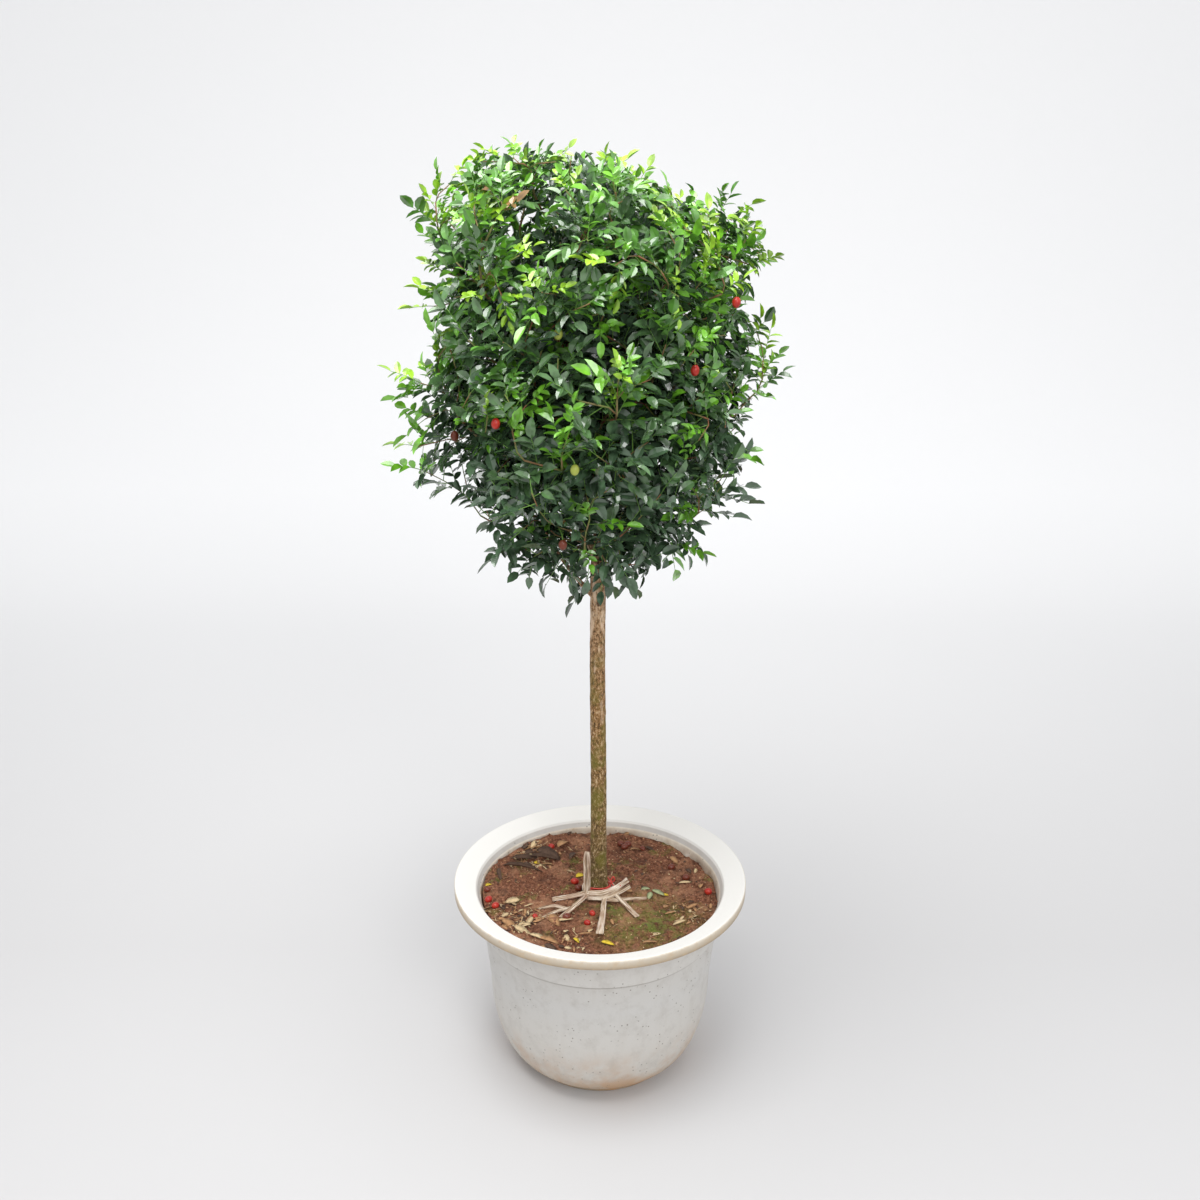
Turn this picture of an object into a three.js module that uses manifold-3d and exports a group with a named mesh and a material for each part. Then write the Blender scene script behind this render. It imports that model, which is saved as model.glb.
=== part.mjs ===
// An orange jasmine trained as a standard: one clear stem with a round leafy head, in a wide nursery pot.
// Units are millimetres, +Z is up, and the origin is the centre of the pot's flat underside.
import * as THREE from "three";
import { mergeVertices } from "three/addons/utils/BufferGeometryUtils.js";
import Module from "manifold-3d";

const wasm = await Module();
wasm.setup();

// ---------------------------------------------------------------- driving dimensions
const GAP = 0.3; // clearance between solids that meet
const FACETS = 32; // facets round the pot and its soil

const POT = {
  height: 369,
  lipRadius: 270, // outer edge of the flared lip
  lipDepth: 18, // height of the lip's outer face
  mouthRadius: 231, // inner edge of the lip
  mouthDrop: 14, // the lip's top falls this much towards the mouth
  collarRadius: 228, // body just under the lip
  collarBottom: 280, // height of the small step below the collar
  collarStep: 2.5,
  shoulderRadius: 207.5, // where the bowl's curve ends and the straight wall begins
  shoulderHeight: 172,
  footRadius: 138,
  footHeight: 11,
  wall: 6,
  floor: 14,
  bowlPower: 2.1, // how square the bowl's curve is
};

const SOIL = { level: 327, flatRadius: 98, rise: 7, waves: 3.5 };
const STRAPS = { count: 8, length: 62, width: 8.5, thickness: 2.4, ringRadius: 28, ringWidth: 9 };

const TRUNK = { footX: -3, top: 985, footRadius: 22, radius: 14.5, neckRadius: 13.2, crutchRadius: 14.6, facets: 12 };

// The head's outline: a barrel above its widest height, drawn in to the stem below it.
const HEAD = {
  axisX: -12,
  bottom: 915,
  widest: 1300,
  top: 1618,
  peak: 1646, // no shoot stands higher
  radius: 272,
  topSlope: 0.13, // the top falls this much for each millimetre from left to right
  upperPower: 6,
  upperRoot: 0.5,
  lowerPower: 2.4,
  lowerRoot: 0.8,
};

// The leader goes on from the stem's crutch and leans over to the left as it rises.
const LEADER_BENDS = [
  [-3, 0, TRUNK.top + GAP],
  [7, -2, 1045],
  [-3, -6, 1163],
  [-25, -14, 1250],
  [-62, -30, 1330],
  [-84, -50, 1385],
];
const LEADER = { baseRadius: 9.5, tipRadius: 4.6, facets: 8 };

// Each bough carries one mass of foliage. azimuth, radius and height place the centre of the mass;
// parent, from and rise say where the bough leaves and how steeply; it ends a little way into the mass's space.
const BOUGHS = [
  { name: "low_left", azimuth: 184, radius: 132, height: 1082, parent: "trunk", from: 903, rise: 44, size: 4.8 },
  { name: "low_front", azimuth: 268, radius: 112, height: 1062, parent: "trunk", from: 936, rise: 40, size: 4.6 },
  { name: "low_right", azimuth: 356, radius: 122, height: 1066, parent: "leader", from: 1012, rise: 12, size: 5 },
  { name: "low_back", azimuth: 92, radius: 122, height: 1078, parent: "trunk", from: 948, rise: 42, size: 5.2 },
  { name: "middle_left", azimuth: 200, radius: 168, height: 1262, parent: "trunk", from: 972, rise: 66, size: 7.4 },
  { name: "middle_front", azimuth: 272, radius: 160, height: 1268, parent: "leader", from: 1052, rise: 50, size: 5.8 },
  { name: "middle_right", azimuth: 344, radius: 166, height: 1276, parent: "leader", from: 1084, rise: 46, size: 6.2 },
  { name: "middle_back_right", azimuth: 56, radius: 162, height: 1284, parent: "leader", from: 1066, rise: 52, size: 6 },
  { name: "middle_back_left", azimuth: 128, radius: 162, height: 1272, parent: "leader", from: 1030, rise: 55, size: 6.2 },
  { name: "upper_right", azimuth: 318, radius: 134, height: 1466, parent: "leader", from: 1190, rise: 58, size: 5.6 },
  { name: "upper_back_right", azimuth: 48, radius: 132, height: 1472, parent: "leader", from: 1170, rise: 62, size: 5.6 },
  { name: "upper_back_left", azimuth: 138, radius: 136, height: 1502, parent: "leader", from: 1238, rise: 60, size: 5.2 },
];
const LEADER_MASS = { name: "upper_left", azimuth: 226, radius: 134, height: 1504 };
const BOUGH = { tipShare: 0.62, facets: 6, steps: 4, sink: 0.35, leastReach: 0.5, entry: 12 };

const TWIG = { tips: 10, inset: 48, tipRadius: 1.6, stemLength: 26, spacing: 115, stepLength: 100, thicken: 0.42 };
const LEAF = { length: 92, width: 62, thickness: 2, fold: 5, sink: 1.3 };
const SPRAY = { apart: 25, perTwig: 6, spread: 60, room: 22, most: 29, attempts: 16 };

// Long young shoots that stand out of the head, as [x, y, z] of their furthest leaves.
const LONG_SHOOTS = [
  [-176, -40, 1640],
  [-138, -70, 1628],
  [-286, -60, 1556],
  [-322, -80, 1286],
  [-330, -40, 1150],
  [236, -60, 1538],
  [276, -40, 1450],
  [290, -70, 1262],
  [238, -50, 1132],
  [-236, -40, 1040],
  [138, -60, 968],
  [-92, -30, 934],
  [-45, -100, 1638],
  [42, -90, 1612],
  [60, 310, 1400],
  [-120, 280, 1230],
  [190, 230, 1260],
  [-210, 210, 1500],
  [40, -290, 1330],
  [-60, -285, 1210],
];

// Ripe fruit that hangs clear of the leaves, as [x, y, z] of its centre.
const FRUITS = [
  [-150, -196, 1238],
  [137, -196, 1296],
  [-246, -50, 1184],
  [214, -50, 1392],
];
const FRUIT = { radius: 7.5, length: 18, stalk: 1.3 };

// ---------------------------------------------------------------- small helpers
const UP = new THREE.Vector3(0, 0, 1);
const radians = THREE.MathUtils.degToRad;
const vec = (x, y, z) => new THREE.Vector3(x, y, z);
const mix = THREE.MathUtils.lerp;

// A repeatable random number source, 0 up to 1.
function seeded(seed) {
  let state = seed >>> 0;
  return () => {
    state = (Math.imul(state, 1664525) + 1013904223) >>> 0;
    return state / 4294967296;
  };
}

function manifoldOf(geometry) {
  const bare = geometry.index ? geometry.toNonIndexed() : geometry.clone();
  const open = new THREE.BufferGeometry().setAttribute("position", bare.getAttribute("position"));
  const merged = mergeVertices(open, 1e-3);
  const index = merged.index.array;
  const kept = [];
  for (let i = 0; i < index.length; i += 3) {
    const [a, b, c] = [index[i], index[i + 1], index[i + 2]];
    if (a !== b && b !== c && c !== a) kept.push(a, b, c);
  }
  const vertProperties = merged.getAttribute("position").array;
  return new wasm.Manifold(new wasm.Mesh({ numProp: 3, vertProperties, triVerts: new Uint32Array(kept) }));
}

// The largest body of a solid, its slivers smoothed away, its loose scraps dropped and its sealed hollows filled.
function mainBody(solid, fine = 0.02) {
  return solid.simplify(fine).decompose().reduce((best, body) => (body.volume() > best.volume() ? body : best));
}

function geometryOf(solid) {
  const mesh = solid.getMesh();
  const points = new Float32Array(mesh.numVert * 3);
  for (let i = 0; i < mesh.numVert; i++) {
    points.set(mesh.vertProperties.subarray(i * mesh.numProp, i * mesh.numProp + 3), i * 3);
  }
  const geometry = new THREE.BufferGeometry();
  geometry.setAttribute("position", new THREE.BufferAttribute(points, 3));
  geometry.setIndex(new THREE.BufferAttribute(mesh.triVerts, 1));
  geometry.computeVertexNormals();
  return geometry;
}

// A closed tapering tube through points, with a radius for each, flat at both ends.
// lobes(angle, ring) may swell it unevenly.
function tube(points, radii, sides, lobes = () => 1) {
  const tangents = points.map((p, i) => {
    const ahead = points[Math.min(i + 1, points.length - 1)];
    const behind = points[Math.max(i - 1, 0)];
    return ahead.clone().sub(behind).normalize();
  });
  const side = Math.abs(tangents[0].x) < 0.9 ? vec(1, 0, 0) : vec(0, 1, 0);
  side.addScaledVector(tangents[0], -side.dot(tangents[0])).normalize();
  const position = [];
  points.forEach((p, ring) => {
    side.addScaledVector(tangents[ring], -side.dot(tangents[ring])).normalize();
    const across = tangents[ring].clone().cross(side);
    for (let k = 0; k < sides; k++) {
      const angle = (2 * Math.PI * k) / sides;
      const r = radii[ring] * lobes(angle, ring);
      const corner = p.clone().addScaledVector(side, r * Math.cos(angle)).addScaledVector(across, r * Math.sin(angle));
      position.push(corner.x, corner.y, corner.z);
    }
  });
  const index = [];
  for (let ring = 0; ring + 1 < points.length; ring++) {
    for (let k = 0; k < sides; k++) {
      const a = ring * sides + k;
      const b = ring * sides + ((k + 1) % sides);
      index.push(a, b, b + sides, a, b + sides, a + sides);
    }
  }
  const last = (points.length - 1) * sides;
  for (let k = 1; k + 1 < sides; k++) {
    index.push(0, k + 1, k);
    index.push(last, last + k, last + k + 1);
  }
  const geometry = new THREE.BufferGeometry();
  geometry.setAttribute("position", new THREE.Float32BufferAttribute(position, 3));
  geometry.setIndex(index);
  return geometry;
}

// ---------------------------------------------------------------- pot and soil
// Radius of the pot's outer wall at a height, below the lip.
function bodyRadius(z) {
  const { footRadius, footHeight, shoulderRadius, shoulderHeight, bowlPower } = POT;
  if (z < shoulderHeight) {
    const u = (shoulderHeight - z) / (shoulderHeight - footHeight);
    const swell = Math.pow(1 - Math.pow(Math.min(u, 1), bowlPower), 1 / bowlPower);
    return mix(footRadius - 2, shoulderRadius, swell);
  }
  const under = POT.height - POT.lipDepth - 5;
  const wall = mix(shoulderRadius, POT.collarRadius - POT.collarStep, (z - shoulderHeight) / (under - shoulderHeight));
  return z < POT.collarBottom ? wall : wall + POT.collarStep;
}

const innerRadius = (z) => bodyRadius(z) - POT.wall;

function potSolid() {
  const { height, lipRadius, lipDepth, mouthRadius, mouthDrop, footRadius, footHeight, floor } = POT;
  const under = height - lipDepth;
  const outside = [[0, 0], [footRadius, 0], [footRadius - 2, footHeight]];
  const bowlSteps = 7;
  for (let i = 1; i <= bowlSteps; i++) {
    const z = footHeight + (POT.shoulderHeight - footHeight) * (1 - Math.cos((Math.PI / 2) * (i / bowlSteps)));
    outside.push([bodyRadius(z), z]);
  }
  const step = POT.collarBottom;
  const lip = [
    [bodyRadius(step - 0.1), step - 0.1],
    [bodyRadius(step + 0.1), step + 0.1],
    [bodyRadius(under - 5), under - 5],
    [bodyRadius(under - 5) + 5, under],
    [lipRadius - 2, under],
    [lipRadius, under + 2],
    [lipRadius, height - 3],
    [lipRadius - 3, height],
    [mouthRadius + 3, height - mouthDrop + 1],
    [mouthRadius - 2, height - mouthDrop - 4],
  ];
  const inside = [320, POT.shoulderHeight, 80, 36, floor].map((z) => [innerRadius(z), z]);
  const profile = [...outside, ...lip, ...inside, [0, floor]].map(([r, z]) => new THREE.Vector2(r, z));
  const turned = new THREE.LatheGeometry(profile, FACETS);
  turned.rotateX(Math.PI / 2);
  return manifoldOf(turned);
}

// Height of the soil's surface: flat round the stem, gently uneven elsewhere, higher on the left.
function soilLevel(x, y) {
  const r = Math.hypot(x, y);
  const away = THREE.MathUtils.smoothstep(r, SOIL.flatRadius, SOIL.flatRadius + 60);
  const swell = Math.sin(x / 41 + 1.2) * Math.cos(y / 53 - 0.4) + 0.6 * Math.sin((x + y) / 29);
  return SOIL.level + away * (SOIL.waves * swell - (SOIL.rise * x) / 200);
}

function soilSolid() {
  const bottom = POT.floor + GAP;
  const clear = POT.wall + 2 * GAP;
  const heights = [36, 80, POT.shoulderHeight, 320];
  const wall = [[bodyRadius(POT.floor) - clear, bottom], ...heights.map((z) => [bodyRadius(z) - clear, z])];
  const profile = [[0, bottom], ...wall, [bodyRadius(320) - clear, SOIL.level]];
  const rings = [175, 135, SOIL.flatRadius];
  rings.forEach((r) => profile.push([r, SOIL.level]));
  profile.push([0, SOIL.level]);
  const turned = new THREE.LatheGeometry(profile.map(([r, z]) => new THREE.Vector2(r, z)), FACETS);
  turned.rotateX(Math.PI / 2);
  const at = turned.getAttribute("position");
  for (let i = 0; i < at.count; i++) {
    if (at.getZ(i) > SOIL.level - 1) at.setZ(i, soilLevel(at.getX(i), at.getY(i)));
  }
  return manifoldOf(turned);
}

// The flat ties of the root ball: a wound collar round the stem's foot and loose ends that lie on the soil.
function strapSolid() {
  const { count, length, width, thickness, ringRadius, ringWidth } = STRAPS;
  const base = SOIL.level + GAP;
  const collar = [
    [ringRadius, base],
    [ringRadius + ringWidth, base],
    [ringRadius + ringWidth - 1, base + 3],
    [ringRadius, base + 7],
    [ringRadius, base],
  ].map(([r, z]) => new THREE.Vector2(r, z));
  const ring = new THREE.LatheGeometry(collar, 16);
  ring.rotateX(Math.PI / 2);
  const parts = [manifoldOf(ring)];
  for (let i = 0; i < count; i++) {
    const azimuth = (2 * Math.PI * (i + 0.35 * Math.sin(i * 2.4))) / count;
    const reach = length * (1 + 0.22 * Math.sin(i * 5.1));
    const bar = new THREE.BoxGeometry(reach, width, thickness);
    bar.translate(ringRadius + 4 + reach / 2, 0, 0);
    bar.rotateY(-radians(4));
    bar.rotateZ(azimuth);
    bar.translate(0, 0, base + 3.4);
    parts.push(manifoldOf(bar));
  }
  return mainBody(wasm.Manifold.union(parts)).translate([TRUNK.footX, 0, 0]);
}

// ---------------------------------------------------------------- the spaces of the foliage masses
// Centre of a mass of foliage.
function massCentre({ azimuth, radius, height }) {
  const a = radians(azimuth);
  return vec(HEAD.axisX + radius * Math.cos(a), radius * Math.sin(a), height);
}

const masses = [...BOUGHS, LEADER_MASS].map((row) => ({
  name: row.name,
  centre: massCentre(row),
  limb: row === LEADER_MASS ? "leader" : row.name,
}));

// How far a point lies inside the space of a mass: half the distance to the plane shared with its nearest neighbour.
function insideSpace(p, mass) {
  const own = p.distanceToSquared(mass.centre);
  let least = Infinity;
  for (const other of masses) {
    if (other === mass) continue;
    const apart = other.centre.distanceTo(mass.centre);
    least = Math.min(least, (p.distanceToSquared(other.centre) - own) / (2 * apart));
  }
  return least;
}

// ---------------------------------------------------------------- stem, leader and boughs
// Each limb keeps its axis and its radii, for the twigs and leaves that have to stay clear of it.
const limbs = new Map();

function limbSolid(limb, extra = 0) {
  const points = limb.points.map((p) => p.clone());
  return manifoldOf(tube(points, limb.radii.map((r) => r + extra), limb.sides, limb.lobes));
}

function makeTrunk() {
  const { top, footRadius, radius, neckRadius, crutchRadius, facets } = TRUNK;
  const foot = SOIL.level + GAP;
  const stations = [
    [foot, footRadius],
    [foot + 8, footRadius * 0.86],
    [foot + 24, radius * 1.17],
    [foot + 60, radius * 1.04],
    [foot + 140, radius],
    [foot + 300, mix(radius, neckRadius, 0.4)],
    [foot + 450, mix(radius, neckRadius, 0.8)],
    [foot + 560, neckRadius],
    [top - 60, neckRadius * 1.04],
    [top - 30, crutchRadius],
    [top - 8, crutchRadius * 0.98],
    [top, crutchRadius * 0.8],
  ];
  const points = stations.map(([z]) => {
    const s = (z - foot) / (top - foot);
    return vec(TRUNK.footX + 2 * Math.sin(s * 7) * s, 1.5 * Math.sin(s * 5), z);
  });
  const lobes = (angle, ring) => 1 + Math.max(0, 0.12 - 0.05 * ring) * Math.cos(4 * angle + 0.6);
  limbs.set("trunk", { name: "trunk", points, radii: stations.map(([, r]) => r), sides: facets, lobes });
}

function makeLeader() {
  const curve = new THREE.CatmullRomCurve3(LEADER_BENDS.map((p) => vec(...p)));
  const points = curve.getSpacedPoints(8);
  const radii = points.map((p, i) => mix(LEADER.baseRadius, LEADER.tipRadius, i / (points.length - 1)));
  limbs.set("leader", { name: "leader", points, radii, sides: LEADER.facets });
}

// The point and the radius of a limb at a height.
function onLimb(limb, z) {
  let i = 0;
  while (i + 2 < limb.points.length && limb.points[i + 1].z < z) i++;
  const [a, b] = [limb.points[i], limb.points[i + 1]];
  const t = (z - a.z) / (b.z - a.z);
  return { point: a.clone().lerp(b, t), radius: mix(limb.radii[i], limb.radii[i + 1], t) };
}

function makeBough(bough) {
  const start = onLimb(limbs.get(bough.parent), bough.from);
  const centre = massCentre(bough);
  const mass = masses.find(({ name }) => name === bough.name);
  let reach = BOUGH.leastReach;
  while (insideSpace(start.point.clone().lerp(centre, reach), mass) < BOUGH.entry) reach += 0.02;
  const end = start.point.clone().lerp(centre, reach);
  const level = vec(end.x - start.point.x, end.y - start.point.y, 0).normalize();
  const rise = radians(bough.rise);
  const first = level.multiplyScalar(Math.cos(rise)).addScaledVector(UP, Math.sin(rise));
  const bend = start.point.clone().addScaledVector(first, 0.48 * end.distanceTo(start.point));
  const begin = start.point.clone().addScaledVector(first, start.radius * BOUGH.sink);
  const points = new THREE.QuadraticBezierCurve3(begin, bend, end).getPoints(BOUGH.steps);
  const radii = points.map((p, i) => {
    const t = i / BOUGH.steps;
    return bough.size * (mix(1, BOUGH.tipShare, t) + 0.22 * Math.exp(-9 * t));
  });
  limbs.set(bough.name, { name: bough.name, points, radii, sides: BOUGH.facets });
}

// Distance from a point to a limb's surface, below 0 inside it.
function outsideLimb(p, limb) {
  let best = Infinity;
  for (let i = 0; i + 1 < limb.points.length; i++) {
    const [a, b] = [limb.points[i], limb.points[i + 1]];
    const along = b.clone().sub(a);
    const t = THREE.MathUtils.clamp(p.clone().sub(a).dot(along) / along.lengthSq(), 0, 1);
    const off = p.distanceTo(a.clone().addScaledVector(along, t)) - mix(limb.radii[i], limb.radii[i + 1], t);
    best = Math.min(best, off);
  }
  return best;
}

const clearOfLimbs = (p, margin) => [...limbs.values()].every((limb) => outsideLimb(p, limb) > margin);

// ---------------------------------------------------------------- foliage
// Radius of the head at a height and azimuth, round its own axis.
function headRadius(z, azimuth) {
  const { bottom, widest, top, radius, upperPower, upperRoot, lowerPower, lowerRoot, topSlope } = HEAD;
  const lean = z + topSlope * radius * Math.cos(azimuth) * THREE.MathUtils.smoothstep(z, widest, top);
  const upper = lean > widest;
  const t = upper ? (lean - widest) / (top - widest) : (widest - lean) / (widest - bottom);
  if (t >= 1) return 0;
  const bulk = Math.pow(1 - Math.pow(t, upper ? upperPower : lowerPower), upper ? upperRoot : lowerRoot);
  return radius * bulk * (1 + 0.04 * Math.sin(3 * azimuth + 1.3) + 0.03 * Math.sin(5 * azimuth + z / 70));
}

// How far it is from a mass's centre, in a direction, to the edge of its space or of the head.
function edgeOf(mass, direction) {
  let reach = 24;
  for (; reach < 260; reach += 5) {
    const p = mass.centre.clone().addScaledVector(direction, reach);
    if (insideSpace(p, mass) < 2) return { reach, open: false };
    const r = Math.hypot(p.x - HEAD.axisX, p.y);
    if (r > headRadius(p.z, Math.atan2(p.y, p.x - HEAD.axisX))) break;
  }
  return { reach, open: true };
}

function randomDirection(random) {
  const z = 2 * random() - 1;
  const azimuth = 2 * Math.PI * random();
  const r = Math.sqrt(1 - z * z);
  return vec(r * Math.cos(azimuth), r * Math.sin(azimuth), z);
}

// Points for twig tips, spread evenly round the mass: near the outside of the head, and up to its neighbours.
function twigTips(mass, random) {
  const tips = [];
  for (const [x, y, z] of LONG_SHOOTS) {
    const p = vec(x, y, z);
    p.addScaledVector(p.clone().sub(mass.centre).normalize(), -0.8 * LEAF.length);
    if (insideSpace(p, mass) > 4) tips.push(p);
  }
  tips.forEach((p) => (p.long = true));
  let spacing = TWIG.spacing;
  while (tips.length < TWIG.tips) {
    const direction = randomDirection(random);
    const { reach, open } = edgeOf(mass, direction);
    const far = (reach - (open ? TWIG.inset : 16)) * (1 - 0.3 * random() * random());
    const p = mass.centre.clone().addScaledVector(direction, far);
    const wanted = open || random() < 0.4;
    const free = tips.every((other) => other.distanceTo(p) > spacing);
    if (wanted && free && clearOfLimbs(p, 12)) tips.push(p);
    spacing *= 0.998;
  }
  return tips;
}

// Twigs grow from one stem: each tip in turn, nearest first, joins the twig that gives it the shortest run to the bough.
function growTwigs(mass, random) {
  const limb = limbs.get(mass.limb);
  const last = limb.points.length - 1;
  const heading = limb.points[last].clone().sub(limb.points[last - 1]).normalize();
  const base = limb.points[last].clone().addScaledVector(heading, GAP);
  const stemEnd = base.clone().addScaledVector(heading, TWIG.stemLength);
  const nodes = [
    { at: base, run: 0, heading, up: null },
    { at: stemEnd, run: TWIG.stemLength, heading, up: 0 },
  ];
  const branches = [{ from: 0, nodes: [0, 1], long: false }];
  const tips = twigTips(mass, random).sort((a, b) => a.distanceTo(base) - b.distanceTo(base));
  for (const tip of tips) {
    const order = nodes
      .map((node, i) => {
        const way = tip.clone().sub(node.at);
        const turn = 1 - way.clone().normalize().dot(node.heading);
        return { i, cost: way.length() * (1 + 0.35 * turn) + 0.32 * node.run };
      })
      .filter(({ i }) => i > 0)
      .sort((a, b) => a.cost - b.cost);
    const tries = order.slice(0, 12).flatMap(({ i }) => [0.3, 0.08].map((bow) => ({ i, bow })));
    for (const { i, bow } of tries) {
      const node = nodes[i];
      const length = node.at.distanceTo(tip);
      const bend = node.at.clone().addScaledVector(node.heading, bow * length);
      const steps = Math.max(2, Math.round(length / TWIG.stepLength));
      const way = new THREE.QuadraticBezierCurve3(node.at, bend, tip).getPoints(steps);
      if (way.slice(1).some((p) => insideSpace(p, mass) < 3 || !clearOfLimbs(p, 4))) continue;
      const branch = { from: i, nodes: [i], long: tip.long };
      for (let k = 1; k <= steps; k++) {
        const up = branch.nodes[k - 1];
        const run = nodes[up].run + way[k].distanceTo(way[k - 1]);
        nodes.push({ at: way[k], run, heading: way[k].clone().sub(way[k - 1]).normalize(), up });
        branch.nodes.push(nodes.length - 1);
      }
      branches.push(branch);
      break;
    }
  }
  // A twig is as thick as the tips beyond it need.
  nodes.forEach((node) => (node.tips = 0));
  for (const branch of branches.slice(1)) {
    for (let i = branch.nodes.at(-1); i !== null; i = nodes[i].up) nodes[i].tips += 1;
  }
  const thickness = (node) => TWIG.tipRadius * Math.pow(Math.max(1, node.tips), TWIG.thicken);
  return { nodes, branches, thickness };
}

// A leaf is a folded kite of six faces, rooted inside its twig: two below that meet in a keel, four above.
function leafPoints(root, along, face, size) {
  const side = face.clone().cross(along).normalize();
  const normal = along.clone().cross(side).normalize();
  const { length, width, thickness, fold, sink } = LEAF;
  const at = (l, w, n) => root.clone().addScaledVector(along, l * size).addScaledVector(side, w * size).addScaledVector(normal, n);
  return {
    foot: at(-sink, 0, 0),
    left: at(0.42 * length, width / 2, fold * size),
    right: at(0.42 * length, -width / 2, fold * size),
    tip: at(length, 0, -0.08 * length * size),
    top: at(0.45 * length, 0, thickness),
  };
}

function leafGeometry({ foot, left, right, tip, top }) {
  const faces = [
    [foot, top, left], [left, top, tip], [tip, top, right], [right, top, foot],
    [foot, left, tip], [foot, tip, right],
  ];
  const position = faces.flat().flatMap((p) => [p.x, p.y, p.z]);
  return new THREE.BufferGeometry().setAttribute("position", new THREE.Float32BufferAttribute(position, 3));
}

function leafFits(leaf, mass, long) {
  const { tip } = leaf;
  if (tip.z > HEAD.peak) return false;
  const reach = Math.hypot(tip.x - HEAD.axisX, tip.y);
  if (!long && reach > headRadius(tip.z, Math.atan2(tip.y, tip.x - HEAD.axisX)) + 10) return false;
  const edge = [leaf.left, leaf.right, leaf.tip, leaf.top];
  const between = [0.25, 0.5, 0.75].map((t) => leaf.foot.clone().lerp(leaf.tip, t));
  const sides = [leaf.left, leaf.right].flatMap((p) => [p.clone().lerp(leaf.tip, 0.5), p.clone().lerp(leaf.foot, 0.5)]);
  const clear = [...edge, ...between, ...sides].every((p) => clearOfLimbs(p, 3));
  return clear && [...edge, leaf.foot].every((p) => insideSpace(p, mass) > 1);
}

// A leaf near the end of a twig, turned about it until it finds free room in the mass's space.
function placeLeaf(mass, { curve, length, start, long }, k, taken, random) {
  const back = 2 + k * SPRAY.apart;
  if (back > length * 0.92) return null;
  const root = curve.getPointAt(1 - back / length);
  const ahead = curve.getTangentAt(1 - back / length);
  for (let attempt = 0; attempt < SPRAY.attempts; attempt++) {
    const turn = start + k * radians(137.5) + attempt * 1.1;
    const side = (Math.abs(ahead.z) < 0.9 ? UP.clone() : vec(1, 0, 0)).cross(ahead).normalize();
    side.applyAxisAngle(ahead, turn);
    const spread = k === 0 ? 0.25 + 0.12 * attempt : radians(SPRAY.spread);
    const along = ahead.clone().multiplyScalar(Math.cos(spread)).addScaledVector(side, Math.sin(spread));
    along.z += 0.12;
    along.normalize();
    const out = vec(root.x - HEAD.axisX, root.y, 0).normalize();
    const face = out.multiplyScalar(0.6 + 0.5 * random()).add(vec(random() - 0.5, random() - 0.5, 0.9));
    const leaf = leafPoints(root, along, face, 0.86 + 0.26 * random());
    const spots = [0.3, 0.6, 0.95].map((t) => leaf.foot.clone().lerp(leaf.tip, t)).concat(leaf.left, leaf.right);
    const crowded = taken.some((other) => spots.some((p) => p.distanceTo(other) < SPRAY.room));
    if (crowded || !leafFits(leaf, mass, long)) continue;
    taken.push(...spots);
    return leaf;
  }
  return null;
}

// Every twig gets a leaf at its end, then each gets one further back, until the mass has enough.
function leavesOf(mass, { nodes, branches }, random) {
  const twigs = branches.slice(1).map(({ nodes: way, long }) => {
    const curve = new THREE.CatmullRomCurve3(way.map((i) => nodes[i].at));
    return { curve, length: curve.getLength(), start: 2 * Math.PI * random(), long };
  });
  const solids = [];
  const taken = [];
  for (let k = 0; k < SPRAY.perTwig; k++) {
    for (const twig of twigs) {
      const leaf = solids.length < SPRAY.most ? placeLeaf(mass, twig, k, taken, random) : null;
      if (leaf) solids.push(manifoldOf(leafGeometry(leaf)));
    }
  }
  return solids;
}

// A ripe fruit on a short stalk from the nearest twig.
function fruitSolids(mass, { nodes }) {
  const solids = [];
  for (const centre of FRUITS.map((p) => vec(...p)).filter((p) => insideSpace(p, mass) > 12)) {
    const twig = nodes.slice(1).reduce((a, b) => (a.at.distanceTo(centre) < b.at.distanceTo(centre) ? a : b));
    const ball = new THREE.IcosahedronGeometry(FRUIT.radius, 1);
    ball.scale(1, 1, FRUIT.length / (2 * FRUIT.radius));
    ball.translate(centre.x, centre.y, centre.z);
    const ends = [twig.at, centre];
    solids.push(manifoldOf(ball), manifoldOf(tube(ends, [FRUIT.stalk, FRUIT.stalk], 3)));
  }
  return solids;
}

// Whether every edge still has just two faces once the corners are rounded, finely and less finely.
function staysClosed(solid) {
  const { vertProperties, numProp, triVerts } = solid.getMesh();
  return [1e3, 1e4].every((perMillimetre) => {
    const corner = (v) => [0, 1, 2].map((k) => Math.round(vertProperties[v * numProp + k] * perMillimetre)).join();
    const uses = new Map();
    for (let i = 0; i < triVerts.length; i += 3) {
      const face = [0, 1, 2].map((k) => corner(triVerts[i + k]));
      if (new Set(face).size < 3) continue;
      for (let k = 0; k < 3; k++) {
        const edge = [face[k], face[(k + 1) % 3]].sort().join(" ");
        uses.set(edge, (uses.get(edge) ?? 0) + 1);
      }
    }
    return [...uses.values()].every((count) => count === 2);
  });
}

// One mass of foliage, grown again from the next seed where its mesh would pinch.
function massSolid(mass, number) {
  const near = wasm.Manifold.union([...limbs.values()].map((limb) => limbSolid(limb, GAP)));
  let solid;
  for (let trial = 0; trial < 8; trial++) {
    const random = seeded(4211 + 97 * number + 13 * trial);
    const grown = growTwigs(mass, random);
    const { nodes, branches, thickness } = grown;
    const twigs = branches.map((branch, i) => {
      const way = branch.nodes.map((n) => nodes[n].at);
      const radii = branch.nodes.map((n, k) => thickness(nodes[k === 0 && i > 0 ? branch.nodes[1] : n]));
      return manifoldOf(tube(way, radii, 3));
    });
    const parts = [...twigs, ...leavesOf(mass, grown, random), ...fruitSolids(mass, grown)];
    solid = mainBody(wasm.Manifold.union(parts).simplify(0.6).subtract(near));
    if (staysClosed(solid)) break;
  }
  return solid;
}

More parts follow.
